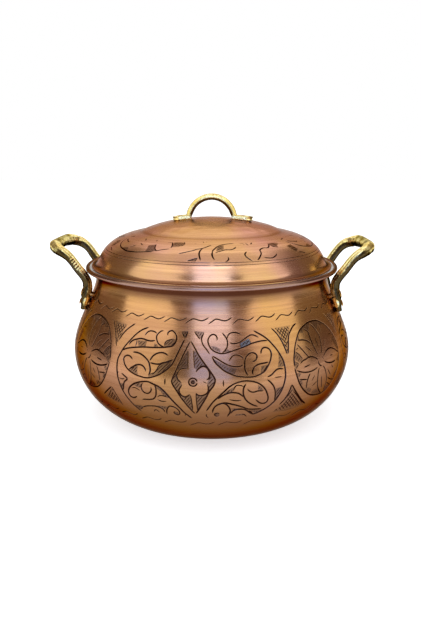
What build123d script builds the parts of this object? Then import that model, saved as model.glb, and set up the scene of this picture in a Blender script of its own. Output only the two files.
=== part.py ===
from build123d import *
import math
import os

# Raised copper pot with a flat flange and a rolled edge, a stepped lid, and cast brass handles.
# Millimetres. The pot stands on z = 0, its axis is Z, and its two handles are along X.

# Pot, measured on its outer face
belly_radius = 140.0
belly_height = 70.0        # of the widest circle, and the radius of the wall below it
belly_pull = 26.4          # how strongly the shoulder keeps to the upright at the belly
neck_radius = 115.3
neck_foot = 143.0          # height where the shoulder has become the upright neck
neck_pull = 16.7
rim_height = 152.0         # upper face of the copper flange
flange_width = 9.7         # from the neck to the outside of the rolled edge
neck_bend = 2.0            # outer radius between the neck and the flange
hem_radius = 2.0           # of the rolled edge
hem_sink = 0.6             # the roll's centre below the flange's upper face
copper_thickness = 1.2
tin_thickness = 0.3

# Lid, measured on its outer face
lid_thickness = 1.0
lid_seat_gap = 2.2         # between the lid's edge and the rolled edge, on the tinned flange
lid_height = 44.4          # crown above the brim
dome_radius = 69.3         # of the crease round the middle dome
dome_height = 12.4         # crown above that crease
dome_pull = 24.0
dome_edge_pull = 17.0
dome_edge_slope = 0.54     # fall of the dome at the crease, as rise over run
tier_slope = 0.2           # fall of the outer tier where it leaves the crease
tier_pull = 20.0
tier_foot_pull = 21.5
tier_foot_lean = 0.4       # run over fall where the tier meets the brim's bend
brim_bend = 6.0
brim_flat = 0.5

# Side handles, the same cast loop twice
handle_reach = 35.5        # from the rolled edge to the outside of the grip
handle_spread = 74.0       # between the middles of the two legs
foot_spread = 70.0         # between the middles of the two feet
grip_rise = 20.6           # middle of the grip above the flange
grip_width = 10.6
grip_thickness = 9.6
leg_width = 9.4
leg_thickness = 8.8
rim_clearance = 0.8        # between a leg and the rolled edge
corner_swell = 1.12        # a corner of the loop against the grip
foot_drop = 39.5           # from the flange down to a foot's lower end
foot_standoff = 9.0        # of the foot's middle from the wall, where the leg starts
foot_width = 14.0
foot_thickness = 10.4
# Cross-sections of a foot, from its lower end to where the leg starts, as shares of
# the drop, of the standoff, of the width and of the thickness
foot_sections = (
    (1.00, 0.28, 0.86, 0.63),
    (0.79, 0.50, 1.00, 0.88),
    (0.62, 0.68, 0.94, 1.00),
    (0.33, 1.00, 0.74, 0.90),
)
# Cross-sections from the knee at the rolled edge to the middle of the grip, as shares of
# the way out, of the way up and of the way across, and of the grip's swell at a corner
loop_sections = (
    (0.36, 0.60, 1.00, 0.0),
    (0.72, 0.98, 0.92, 1.0),
    (0.90, 1.04, 0.66, 0.0),
    (0.98, 1.01, 0.33, 0.0),
    (1.00, 1.00, 0.00, 0.0),
)

# Rivets of the side handles, two in each foot
rivet_radius = 2.5
rivet_head_radius = 4.5    # the head inside the pot
rivet_head_height = 2.0
rivet_crown_radius = 4.2   # the peened end on the foot
rivet_crown_height = 1.1
rivet_seat_radius = 4.5    # flat spot on the foot, round the peened end
rivet_seat_depth = 0.9
rivet_clearance = 0.02
lower_rivet_drop = 34.2    # below the flange
upper_rivet_drop = 25.4
bore_reach = 20.0          # a drill's way to each side of the outer face

# Lid handle, a cast arch with two flat feet
arch_height = 23.0         # top of the arch above the lid's crown
arch_radius = 25.2         # outside of the arch
arch_thickness = 4.8
arch_width = 9.2
lid_foot_length = 38.2     # from the middle to a foot's round end
lid_foot_width = 14.0
lid_foot_thickness = 3.6
lid_rivet_radius = 2.2
lid_rivet_place = 31.0     # from the middle of the lid
lid_rivet_head_radius = 4.2
lid_rivet_head_height = 1.3
lid_rivet_crown_radius = 3.4
lid_rivet_crown_height = 0.5

# Every brass foot stands this far off the copper that it is riveted to.
foot_clearance = 0.01

# What follows from those sizes
base_radius = belly_radius - belly_height
flange_underside = rim_height - copper_thickness
rim_radius = neck_radius + flange_width
hem_middle = rim_radius - hem_radius
wall_thickness = copper_thickness + tin_thickness
seat_height = rim_height + tin_thickness
lid_wall = lid_thickness + tin_thickness
brim_top = seat_height + lid_wall
lid_crown = brim_top + lid_height
crease_height = lid_crown - dome_height
seat_edge = hem_middle - math.sqrt(hem_radius**2 - (hem_sink + tin_thickness)**2)
lid_radius = seat_edge - lid_seat_gap


def unit(x, y):
    length = math.hypot(x, y)
    return x / length, y / length


def curve_where(points, axis, value):
    """The point of a cubic curve where one coordinate has a value, and the curve's direction there."""
    low, high = 0.0, 1.0
    for _ in range(40):
        t = (low + high) / 2
        s = 1 - t
        weights = (s**3, 3 * s * s * t, 3 * s * t * t, t**3)
        place = [sum(w * point[i] for w, point in zip(weights, points)) for i in (0, 1)]
        low, high = (t, high) if place[axis] < value else (low, t)
    slopes = (s * s, 2 * s * t, t * t)
    way = [sum(w * (b[i] - a[i]) for w, a, b in zip(slopes, points, points[1:])) for i in (0, 1)]
    return place, way


def band(line, near, far):
    """The section of a sheet between two depths below its outer face."""
    outer, inner = line(near), line(far)
    ends = [Line(outer[0] @ 0, inner[0] @ 0), Line(outer[-1] @ 1, inner[-1] @ 1)]
    return make_face(outer + inner + ends)


def turned(section):
    return revolve(Plane.XZ * section, Axis.Z)


# Pot

def wall_line(inset):
    """The pot's section from the middle of its base to its flange, inset from the outer face."""
    neck = neck_radius - inset
    bend_middle = (neck_radius + neck_bend, flange_underside - neck_bend)
    flange = flange_underside + inset
    return [
        Line((0, inset), (base_radius, inset)),
        CenterArc((base_radius, belly_height), belly_height - inset, -90, 90),
        Bezier(*shoulder_points(inset)),
        Line((neck, neck_foot), (neck, bend_middle[1])),
        CenterArc(bend_middle, neck_bend + inset, 180, -90),
        Line((bend_middle[0], flange), (hem_middle, flange)),
    ]


def shoulder_points(inset):
    belly, neck = belly_radius - inset, neck_radius - inset
    return [
        (belly, belly_height),
        (belly, belly_height + belly_pull),
        (neck, neck_foot - neck_pull),
        (neck, neck_foot),
    ]


def shoulder_at(height):
    """The wall's outer radius at a height of the shoulder or neck, and its normal there (out, up)."""
    if height >= neck_foot:
        return neck_radius, (1.0, 0.0)
    (radius, _), (run, rise) = curve_where(shoulder_points(0), 1, height)
    return radius, unit(rise, -run)


def make_pot():
    hem = Pos(hem_middle, rim_height - hem_sink) * Circle(hem_radius)
    copper = band(wall_line, 0, copper_thickness) + hem
    tin = band(wall_line, copper_thickness, wall_thickness) - hem
    return turned(copper), turned(tin)


def pot_volume():
    """Everything inside the pot's outer face and the feet's clearance, up to the top of the neck."""
    edges = wall_line(-foot_clearance)[:4]
    bottom, top = edges[0] @ 0, edges[-1] @ 1
    section = make_face(edges + [Line(top, (0, top.Y)), Line((0, top.Y), bottom)])
    return turned(section)


# Side handles

def chord(radius, across):
    """How far out a circle round the pot's axis is, that far across from the middle."""
    return math.sqrt(radius**2 - across**2)


def handle_stations():
    """Middles of the loop's cross-sections (out, across, up) with width and thickness, foot to grip."""
    foot, leg = foot_spread / 2, handle_spread / 2
    stations = []
    for drop, standoff, width, thickness in foot_sections:
        height = rim_height - foot_drop * drop
        radius, (out, _) = shoulder_at(height)
        middle = chord(radius, foot) + foot_standoff * standoff / out
        stations.append(((middle, foot, height), foot_width * width, foot_thickness * thickness))
    # The leg leans out by about 45 degrees where it passes the rolled edge.
    knee = chord(rim_radius, leg) + rim_clearance + leg_thickness * math.sin(math.pi / 4)
    stations.append(((knee, leg, rim_height), leg_width, leg_thickness))
    grip = rim_radius + handle_reach - grip_thickness / 2
    for outward, upward, across, swell in loop_sections:
        place = (knee + (grip - knee) * outward, leg * across, rim_height + grip_rise * upward)
        bigger = 1 + (corner_swell - 1) * swell
        upper = outward > loop_sections[0][0]
        width, thickness = (grip_width, grip_thickness) if upper else (leg_width, leg_thickness)
        stations.append((place, width * bigger, thickness * bigger))
    return stations


def make_handle():
    """The right-hand loop, lofted from one foot over the grip to the other and fitted to the wall."""
    half = handle_stations()
    loop = half + [((x, -y, z), width, thickness) for (x, y, z), width, thickness in half[-2::-1]]
    places = [Vector(*place) for place, _, _ in loop]
    outward = Vector(1, 0, -0.5)
    sections = []
    for i, (_, width, thickness) in enumerate(loop):
        before, after = places[max(i - 1, 0)], places[min(i + 1, len(loop) - 1)]
        along = (after - before).normalized()
        plane = Plane(origin=places[i], x_dir=along.cross(outward).normalized(), z_dir=along)
        sections.append(plane * Ellipse(width / 2, thickness / 2))
    return loft(sections) - pot_volume()


# Rivets

def dome_head(radius, height):
    """A low domed head standing on z = 0."""
    ball = (radius**2 + height**2) / (2 * height)
    return Pos(0, 0, height - ball) * Sphere(ball) & Pos(0, 0, height / 2) * Cylinder(radius, height)


def make_rivet(plane, reach, depth, shank_radius, head, crown):
    """A rivet through plane, its outer head reach above it and its inner head depth below it."""
    outer = Pos(0, 0, reach) * dome_head(*crown)
    inner = Pos(0, 0, -depth) * Rot(180, 0, 0) * dome_head(*head)
    shank = Pos(0, 0, (reach - depth) / 2) * Cylinder(shank_radius, reach + depth)
    return plane * (shank + outer + inner)


def hole(plane, radius):
    return plane * Cylinder(radius, 2 * bore_reach)


def side_rivet_planes():
    """Where the rivets of one foot cross the wall's outer face, with Z the way out."""
    planes = []
    for drop in (lower_rivet_drop, upper_rivet_drop):
        height = rim_height - drop
        radius, (out, up) = shoulder_at(height)
        turn = math.asin(foot_spread / 2 / radius)
        place = (radius * math.cos(turn), radius * math.sin(turn), height)
        planes.append(Plane(origin=place, z_dir=(out * math.cos(turn), out * math.sin(turn), up)))
    return planes


def both_feet(shape):
    """A shape of the right-hand handle's far foot, repeated at its near foot."""
    return [shape, mirror(shape, Plane.XZ)]


def four_feet(shape):
    right = both_feet(shape)
    return right + [Rot(0, 0, 180) * each for each in right]


def top_of(shape, plane):
    """How far a shape reaches along a plane's normal from its origin."""
    line = Axis(plane.origin, plane.z_dir)
    hits = shape.find_intersection_points(line)
    return max((point - plane.origin).dot(plane.z_dir) for point, _ in hits)


# Lid

def lid_points(inset):
    """Crown, crease and brim bend of the lid's section, inset from its outer face."""
    dome_way = unit(1, -dome_edge_slope)
    tier_way = unit(1, -tier_slope)
    foot_way = unit(tier_foot_lean, -1)
    crown = (0, lid_crown - inset)
    # At the crease both faces move in by the same depth along their own normals.
    dome_out, tier_out = (-dome_way[1], dome_way[0]), (-tier_way[1], tier_way[0])
    share = inset / (1 + dome_out[0] * tier_out[0] + dome_out[1] * tier_out[1])
    crease = (dome_radius - share * (dome_out[0] + tier_out[0]),
              crease_height - share * (dome_out[1] + tier_out[1]))
    bend_middle = (lid_radius - brim_flat, brim_top + brim_bend)
    foot = (bend_middle[0] + foot_way[1] * (brim_bend + inset),
            bend_middle[1] - foot_way[0] * (brim_bend + inset))
    dome = [crown, (dome_pull, crown[1]),
            (crease[0] - dome_way[0] * dome_edge_pull, crease[1] - dome_way[1] * dome_edge_pull),
            crease]
    tier = [crease, (crease[0] + tier_way[0] * tier_pull, crease[1] + tier_way[1] * tier_pull),
            (foot[0] - foot_way[0] * tier_foot_pull, foot[1] - foot_way[1] * tier_foot_pull), foot]
    return dome, tier, bend_middle


def lid_line(inset):
    """The lid's section from its crown to its edge, inset from the outer face."""
    dome, tier, bend_middle = lid_points(inset)
    lean = math.degrees(math.atan(tier_foot_lean))
    brim = brim_top - inset
    return [
        Bezier(*dome),
        Bezier(*tier),
        CenterArc(bend_middle, brim_bend + inset, 180 + lean, 90 - lean),
        Line((bend_middle[0], brim), (lid_radius, brim)),
    ]


def make_lid():
    copper = turned(band(lid_line, 0, lid_thickness))
    tin = turned(band(lid_line, lid_thickness, lid_wall))
    return copper, tin


def dome_volume():
    """Everything under the lid's middle dome and the feet's clearance, down to the brim."""
    dome = Bezier(*lid_points(-foot_clearance)[0])
    edge = dome @ 1
    section = make_face([dome, Line(edge, (edge.X, brim_top)), Line((edge.X, brim_top), (0, brim_top)),
                         Line((0, brim_top), dome @ 0)])
    return turned(section)


def make_lid_handle():
    """An arch of a six-sided section, with a flat foot on each side that follows the dome."""
    half_width, half_thickness = arch_width / 2, arch_thickness / 2
    outline = Polyline(
        (half_thickness, half_width * 0.55), (0, half_width), (-half_thickness, half_width * 0.6),
        (-half_thickness, -half_width * 0.6), (0, -half_width), (half_thickness, -half_width * 0.55),
        close=True)
    section = fillet(make_face(outline).vertices(), arch_thickness / 6)
    middle = Vector(0, 0, lid_crown + arch_height - arch_radius)
    mean_radius = arch_radius - half_thickness
    start = Plane(origin=middle + Vector(mean_radius, 0, -half_width), x_dir=(1, 0, 0), z_dir=(0, 0, 1))
    leg = extrude(start * section, half_width)
    arch = revolve(Plane(origin=middle + Vector(mean_radius, 0, 0), x_dir=(1, 0, 0), z_dir=(0, 0, 1))
                   * section, Axis(middle, (0, -1, 0)), 180)
    tongue = lid_foot_length - lid_foot_width / 2
    inner = mean_radius - half_thickness
    plan = (Pos((tongue + inner) / 2, 0) * Rectangle(tongue - inner, lid_foot_width)
            + Pos(tongue, 0) * Circle(lid_foot_width / 2))
    layer = turned(band(lid_line, -foot_clearance - lid_foot_thickness, -foot_clearance))
    foot = extrude(Pos(0, 0, brim_top) * plan, 2 * lid_height) & layer
    return (arch + leg + mirror(leg, Plane.YZ) - dome_volume()) + foot + mirror(foot, Plane.YZ)


def lid_rivet_plane():
    """Where the right-hand rivet crosses the dome's outer face, with Z the way out."""
    (radius, height), (run, fall) = curve_where(lid_points(0)[0], 0, lid_rivet_place)
    return Plane(origin=(radius, 0, height), z_dir=(-fall, 0, run))


# The parts, each in its place

def make_parts():
    parts = {}
    pot, pot_tin = make_pot()
    lid, lid_tin = make_lid()
    handle = make_handle()
    lid_handle = make_lid_handle()

    rivets = []
    for plane in side_rivet_planes():
        bore = hole(plane, rivet_radius + rivet_clearance)
        seat = top_of(handle, plane) - rivet_seat_depth
        spot = plane * Pos(0, 0, seat + bore_reach / 2) * Cylinder(rivet_seat_radius, bore_reach)
        handle -= both_feet(bore) + both_feet(spot)
        pot -= four_feet(bore)
        pot_tin -= four_feet(bore)
        rivet = make_rivet(plane, seat, wall_thickness, rivet_radius,
                           (rivet_head_radius, rivet_head_height),
                           (rivet_crown_radius, rivet_crown_height))
        rivets.append(rivet)

    lid_plane = lid_rivet_plane()
    lid_rivet = make_rivet(lid_plane, foot_clearance + lid_foot_thickness, lid_wall, lid_rivet_radius,
                           (lid_rivet_head_radius, lid_rivet_head_height),
                           (lid_rivet_crown_radius, lid_rivet_crown_height))
    for turn in (0, 180):
        bore = Rot(0, 0, turn) * hole(lid_plane, lid_rivet_radius + rivet_clearance)
        lid -= bore
        lid_tin -= bore
        lid_handle -= bore

    parts["pot_body"] = pot
    parts["pot_tin_lining"] = pot_tin
    parts["lid_shell"] = lid
    parts["lid_tin_lining"] = lid_tin
    parts["handle_right"] = handle
    parts["handle_left"] = Rot(0, 0, 180) * handle
    parts["lid_handle"] = lid_handle
    for row, rivet in enumerate(rivets):
        seated = rivet - pot_tin
        for name, copy in zip(("right_back", "right_front", "left_front", "left_back"), four_feet(seated)):
            parts[f"rivet_{name}_{'lower' if row == 0 else 'upper'}"] = copy
    seated = lid_rivet - lid_tin - lid_handle
    parts["lid_rivet_right"] = seated
    parts["lid_rivet_left"] = Rot(0, 0, 180) * seated
    return parts


os.makedirs("parts", exist_ok=True)
for name, shape in make_parts().items():
    export_step(shape, f"parts/{name}.step")
    print(name, round(shape.volume), "mm3")
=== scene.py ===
import math
import random
import bpy
import numpy as np
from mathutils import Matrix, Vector, kdtree, noise
from mathutils.geometry import delaunay_2d_cdt


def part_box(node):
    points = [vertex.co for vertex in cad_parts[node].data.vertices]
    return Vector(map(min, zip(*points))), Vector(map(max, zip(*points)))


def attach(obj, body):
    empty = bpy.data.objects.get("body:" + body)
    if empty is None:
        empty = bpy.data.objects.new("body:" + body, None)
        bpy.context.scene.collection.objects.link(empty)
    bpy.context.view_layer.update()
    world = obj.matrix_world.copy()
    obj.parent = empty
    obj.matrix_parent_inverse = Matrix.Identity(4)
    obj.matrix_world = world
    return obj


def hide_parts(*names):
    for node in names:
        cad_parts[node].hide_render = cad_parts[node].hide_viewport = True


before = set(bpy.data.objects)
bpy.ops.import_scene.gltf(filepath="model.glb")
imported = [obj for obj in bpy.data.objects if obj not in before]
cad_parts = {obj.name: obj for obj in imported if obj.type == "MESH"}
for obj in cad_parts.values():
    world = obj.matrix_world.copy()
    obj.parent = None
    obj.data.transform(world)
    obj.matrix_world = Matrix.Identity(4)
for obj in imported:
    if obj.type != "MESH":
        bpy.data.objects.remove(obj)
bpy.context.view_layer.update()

# Engraved copper casserole with a stepped lid and cast brass handles.
# Lengths are millimetres, turned into metres with mm when a mesh is made.
# Materials and the studio are in metres.
mm = 0.001


# Camera, at the photograph's angle

cameraView = {
    "distance": 600.0,
    "height": 255.6,
    "pitch": 14.8,         # degrees down
    "turn": 2.0,           # degrees towards the right-hand handle
    "sideStep": -1.1,
    "lens": 34.17,
    "sensor": 36.0,
}


def makeCamera():
    turn = math.radians(cameraView["turn"])
    across = Vector((math.cos(turn), math.sin(turn), 0))
    back = Vector((math.sin(turn), -math.cos(turn), 0))
    spot = back * cameraView["distance"] + across * cameraView["sideStep"]
    spot.z = cameraView["height"]
    data = bpy.data.cameras.new("potCamera")
    data.lens = cameraView["lens"]
    data.sensor_fit = "VERTICAL"
    data.sensor_height = cameraView["sensor"]
    camera = bpy.data.objects.new("potCamera", data)
    camera.location = spot * mm
    camera.rotation_euler = (math.radians(90 - cameraView["pitch"]), 0, turn)
    bpy.context.scene.collection.objects.link(camera)
    bpy.context.scene.camera = camera


makeCamera()
print("camera set")


# Materials

def plug(tree, node, values):
    # Each value goes to its socket as a number, a colour or a link
    for name, value in values.items():
        socket = node.inputs[name]
        if isinstance(value, (int, float)):
            socket.default_value = value
        elif isinstance(value, tuple):
            socket.default_value = (*value, 1)
        else:
            tree.links.new(value, socket)


def addNode(tree, kind, values=None, **settings):
    node = tree.nodes.new("ShaderNode" + kind)
    for name, setting in settings.items():
        setattr(node, name, setting)
    plug(tree, node, values or {})
    return node


def clearTree(owner):
    owner.use_nodes = True
    owner.node_tree.nodes.clear()
    return owner.node_tree


def newMetal(name):
    material = bpy.data.materials.new(name)
    tree = clearTree(material)
    shader = addNode(tree, "BsdfPrincipled", {"Metallic": 1.0})
    addNode(tree, "OutputMaterial", {0: shader.outputs[0]})
    return material, tree, shader


def mathNode(tree, operation, first, second):
    return addNode(tree, "Math", {0: first, 1: second}, operation=operation).outputs[0]


def mixColour(tree, factor, first, second):
    return addNode(tree, "Mix", {0: factor, 6: first, 7: second}, data_type="RGBA").outputs[2]


def rangeNode(tree, value, fromLow, fromHigh, toLow=0.0, toHigh=1.0):
    values = {0: value, 1: fromLow, 2: fromHigh, 3: toLow, 4: toHigh}
    return addNode(tree, "MapRange", values).outputs[0]


def windowNode(tree, value, low, high, soft, strength):
    # strength between low and high, falling to 0 over soft
    rise = rangeNode(tree, value, low - soft, low, 0, strength)
    fall = rangeNode(tree, value, high, high + soft, 1, 0)
    return mathNode(tree, "MULTIPLY", rise, fall)


def noiseNode(tree, vector, scale, detail, **settings):
    values = {"Vector": vector, "Scale": scale, "Detail": detail}
    return addNode(tree, "TexNoise", values, **settings)


def attributeNode(tree, name):
    return addNode(tree, "Attribute", attribute_name=name).outputs["Fac"]


def bumpNode(tree, height, distance, strength):
    values = {"Height": height, "Distance": distance, "Strength": strength}
    return addNode(tree, "Bump", values).outputs[0]


def axisPlaces(tree):
    # The place on the object, its height, its reach from the pot's axis and its way out from it
    place = addNode(tree, "TexCoord").outputs["Object"]
    parts = addNode(tree, "SeparateXYZ", {0: place}).outputs
    flat = addNode(tree, "CombineXYZ", {0: parts[0], 1: parts[1]}).outputs[0]
    length = addNode(tree, "VectorMath", {0: flat}, operation="LENGTH")
    circle = addNode(tree, "VectorMath", {0: flat}, operation="NORMALIZE")
    return {"place": place, "height": parts[2], "reach": length.outputs["Value"],
            "wayOut": circle.outputs[0]}


def turnedNoise(tree, places, alongScale, acrossScale, detail):
    # Noise drawn out round the pot's axis, as a lathe's and a brush's marks are
    way = addNode(tree, "SeparateXYZ", {0: places["wayOut"]}).outputs
    spread = [mathNode(tree, "MULTIPLY", value, alongScale) for value in (way[0], way[1])]
    spread += [mathNode(tree, "MULTIPLY", places[name], acrossScale) for name in ("height", "reach")]
    joined = addNode(tree, "CombineXYZ", {0: spread[0], 1: spread[1], 2: spread[2]}).outputs[0]
    texture = noiseNode(tree, joined, 1.0, detail, noise_dimensions="4D")
    plug(tree, texture, {"W": spread[3]})
    return texture.outputs[0]


copperFinish = {
    # the metal where it is golden, where it is pink, and its tint at a glancing view
    "potCopper": ((0.74, 0.415, 0.175), (0.70, 0.37, 0.225), (0.34, 0.24, 0.17)),
    "lidCopper": ((0.75, 0.46, 0.23), (0.71, 0.39, 0.31), (0.46, 0.31, 0.24)),
    "rivetCopper": ((0.80, 0.60, 0.25), (0.70, 0.48, 0.19), (0.5, 0.3, 0.15)),
    "brown": (0.26, 0.085, 0.035),
    # the next two colours: painted shade in the lid's creases and towards the pot's bottom, with the
    # rivets' tarnish; then painted shade under the rim's flange
    "shadeAndTarnish": (0.185, 0.075, 0.030),
    "shade": (0.060, 0.014, 0.006),
    "hem": (0.33, 0.20, 0.165),
    "cut": (0.030, 0.012, 0.008),
    "ground": (0.070, 0.047, 0.040),
    # a painted bluish sheen, on one patch of hatched ground
    "paintedSheen": (0.25, 0.27, 0.37),
    "anisotropy": 0.6,
    "brushTurn": 0.25,
    # noise scales, along and across the brushing where there are two, and the noise's detail
    "streak": (1.2, 420.0, 4.0),
    "fine": (3.0, 1600.0, 2.0),
    "cloud": (14.0, 3.0),
    # a value's low and high, and the shares or the roughness that they stand for
    "pinkFrom": (0.40, 0.60),
    "brownFrom": (0.38, 0.68, 0.0, 0.26),
    "cutFrom": (0.02, 0.28),
    "paintedSheenFrom": (1.5, 2.0),
    "hemReach": (0.1196, 0.1206),
    "hemHeight": (0.1490, 0.1495),
    "roughness": (0.3, 0.7, 0.18, 0.31),
    "groundShare": 0.60,
    "grain": (0.00006, 0.5),    # distance and strength of the bumps
}


def makeCopper(name, engraved, darkBands):
    # the dark bands are painted shade, and the rivets' tarnish, each as ("height" or "reach", low, high,
    # soft, strength, colour), in metres
    finish = copperFinish
    material, tree, shader = newMetal(name)
    places = axisPlaces(tree)
    streak = turnedNoise(tree, places, *finish["streak"])
    fine = turnedNoise(tree, places, *finish["fine"])
    cloud = noiseNode(tree, places["place"], *finish["cloud"]).outputs[0]
    gold, pink, edge = finish[name]
    colour = mixColour(tree, rangeNode(tree, cloud, *finish["pinkFrom"]), gold, pink)
    colour = mixColour(tree, rangeNode(tree, streak, *finish["brownFrom"]), colour, finish["brown"])
    for axis, low, high, soft, strength, tone in darkBands:
        shadeAndTarnish = windowNode(tree, places[axis], low, high, soft, strength)
        colour = mixColour(tree, shadeAndTarnish, colour, finish[tone])
    if name == "potCopper":
        outward = rangeNode(tree, places["reach"], *finish["hemReach"])
        upward = rangeNode(tree, places["height"], *finish["hemHeight"])
        colour = mixColour(tree, mathNode(tree, "MULTIPLY", outward, upward), colour, finish["hem"])
    if engraved:
        ground = attributeNode(tree, "ground")
        dark = mathNode(tree, "MULTIPLY", ground, finish["groundShare"])
        colour = mixColour(tree, dark, colour, finish["ground"])
        # a painted bluish sheen where the ground's value reaches 2
        colour = mixColour(tree, rangeNode(tree, ground, *finish["paintedSheenFrom"]), colour, finish["paintedSheen"])
        cut = rangeNode(tree, attributeNode(tree, "cut"), *finish["cutFrom"])
        colour = mixColour(tree, cut, colour, finish["cut"])
    plug(tree, shader, {
        "Base Color": colour,
        "Roughness": rangeNode(tree, streak, *finish["roughness"]),
        "Anisotropic": finish["anisotropy"],
        "Anisotropic Rotation": finish["brushTurn"],
        "Specular Tint": edge,
        "Tangent": addNode(tree, "Tangent", direction_type="RADIAL", axis="Z").outputs[0],
        "Normal": bumpNode(tree, mathNode(tree, "ADD", streak, fine), *finish["grain"]),
    })
    return material


tinFinish = {
    "light": (0.60, 0.56, 0.53),
    "dull": (0.30, 0.26, 0.24),
    "streak": (2.0, 260.0, 3.0),
    "cloud": (60.0, 4.0),
    "dullFrom": (0.75, 1.25),
    "roughness": (0.3, 0.7, 0.28, 0.5),
    "grain": (0.0001, 0.4),
}


def makeTin():
    finish = tinFinish
    material, tree, shader = newMetal("wipedTin")
    places = axisPlaces(tree)
    streak = turnedNoise(tree, places, *finish["streak"])
    cloud = noiseNode(tree, places["place"], *finish["cloud"]).outputs[0]
    mixed = rangeNode(tree, mathNode(tree, "ADD", streak, cloud), *finish["dullFrom"])
    plug(tree, shader, {
        "Base Color": mixColour(tree, mixed, finish["light"], finish["dull"]),
        "Roughness": rangeNode(tree, cloud, *finish["roughness"]),
        "Normal": bumpNode(tree, mixed, *finish["grain"]),
    })
    return material


brassFinish = {
    "bright": (1.0, 0.90, 0.46),
    "deep": (0.84, 0.66, 0.24),
    # dark colour for casting pits, tarnish and painted shade
    "pitTarnishAndShade": (0.045, 0.026, 0.009),
    "edge": (0.85, 0.72, 0.42),
    "cloud": (90.0, 3.0),
    "speckle": (700.0, 3.0),
    "deepFrom": (0.42, 0.62),
    "pitsFrom": (0.56, 0.68, 0.0, 0.45),
    "ragFrom": (0.8, 1.2, -0.16, 0.16),
    "darkFrom": (0.22, 0.78, 0.0, 0.97),
    "roughness": (0.35, 0.7, 0.16, 0.34),
    "cloudShare": 4.0,
    "grain": (0.0002, 0.5),
}


def makeBrass():
    finish = brassFinish
    material, tree, shader = newMetal("castBrass")
    place = addNode(tree, "TexCoord").outputs["Object"]
    cloud = noiseNode(tree, place, *finish["cloud"]).outputs[0]
    speckle = noiseNode(tree, place, *finish["speckle"]).outputs[0]
    colour = mixColour(tree, rangeNode(tree, cloud, *finish["deepFrom"]), finish["bright"], finish["deep"])
    colour = mixColour(tree, rangeNode(tree, speckle, *finish["pitsFrom"]), colour, finish["pitTarnishAndShade"])
    # tarnish and painted shade, read from the hollow attribute, with a ragged edge
    rag = rangeNode(tree, mathNode(tree, "ADD", cloud, speckle), *finish["ragFrom"])
    hollow = mathNode(tree, "ADD", attributeNode(tree, "hollow"), rag)
    dark = rangeNode(tree, hollow, *finish["darkFrom"])
    lumps = mathNode(tree, "ADD", mathNode(tree, "MULTIPLY", cloud, finish["cloudShare"]), speckle)
    plug(tree, shader, {
        "Base Color": mixColour(tree, dark, colour, finish["pitTarnishAndShade"]),
        "Specular Tint": mixColour(tree, dark, finish["edge"], finish["pitTarnishAndShade"]),
        "Roughness": rangeNode(tree, speckle, *finish["roughness"]),
        "Normal": bumpNode(tree, lumps, *finish["grain"]),
    })
    return material


# painted shade in a band under the rim's flange, and painted shade darkening the belly towards the bottom
potCopper = makeCopper("potCopper", True, [
    ("height", 0.1445, 0.1508, 0.010, 0.97, "shade"),
    ("height", -0.001, 0.040, 0.090, 0.92, "shadeAndTarnish"),
])
# painted shade in the crease between dome and tier, and where the tier bends into the brim
lidCopper = makeCopper("lidCopper", True, [
    ("reach", 0.0688, 0.0702, 0.0024, 0.40, "shadeAndTarnish"),
    ("reach", 0.1150, 0.1175, 0.0020, 0.75, "shadeAndTarnish"),
])
# the rivets are darkened all over as tarnish
rivetCopper = makeCopper("rivetCopper", False, [("height", 0.0, 0.3, 0.1, 0.35, "shadeAndTarnish")])
wipedTin = makeTin()
castBrass = makeBrass()
print("materials made")


# Sections shared by the pot and the lid, as lists of (radius, height)

def arcPoints(middle, radius, start, end, count):
    angles = [math.radians(start + (end - start) * i / count) for i in range(count + 1)]
    return [(middle[0] + radius * math.cos(a), middle[1] + radius * math.sin(a)) for a in angles]


def curvePoints(corners, count):
    points = []
    for i in range(count + 1):
        t = i / count
        s = 1 - t
        weights = (s**3, 3 * s * s * t, 3 * s * t * t, t**3)
        point = [sum(w * corner[axis] for w, corner in zip(weights, corners)) for axis in (0, 1)]
        points.append(tuple(point))
    return points


def linePoints(start, end, count):
    return [tuple(a + (b - a) * i / count for a, b in zip(start, end)) for i in range(count + 1)]


def chain(*pieces):
    joined = list(pieces[0])
    for piece in pieces[1:]:
        joined += piece[1:]
    return joined


def splitAt(section, axis, value):
    # A section in two, cut where it passes a radius (axis 0) or a height (axis 1)
    for i, (a, b) in enumerate(zip(section, section[1:])):
        if a[axis] <= value <= b[axis] and a[axis] != b[axis]:
            share = (value - a[axis]) / (b[axis] - a[axis])
            point = [start + (end - start) * share for start, end in zip(a, b)]
            point[axis] = value
            return section[:i + 1] + [tuple(point)], [tuple(point)] + section[i + 1:]


def unit(x, y):
    length = math.hypot(x, y)
    return x / length, y / length


ringCount = 240
sameSpot = 1e-3                 # nearer than this, two places on a surface are one
tiny = 1e-12                    # keeps a division from dividing by 0


def roundAxis(away, turn):
    return away * math.sin(turn), -away * math.cos(turn)


def ringTurns():
    return [2 * math.pi * k / ringCount for k in range(ringCount)]


def addRings(verts, faces, section):
    # Rings of corners round the axis, one for each point of the section, and the faces between
    rows = []
    for radius, height in section:
        first = len(verts)
        if radius < sameSpot:
            verts.append((0.0, 0.0, height))
            rows.append([first] * ringCount)
            continue
        verts += [(*roundAxis(radius, turn), height) for turn in ringTurns()]
        rows.append(list(range(first, first + ringCount)))
    for lower, upper in zip(rows, rows[1:]):
        for k in range(ringCount):
            following = (k + 1) % ringCount
            corners = dict.fromkeys((lower[k], lower[following], upper[following], upper[k]))
            if len(corners) > 2:
                faces.append(tuple(corners))


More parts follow.
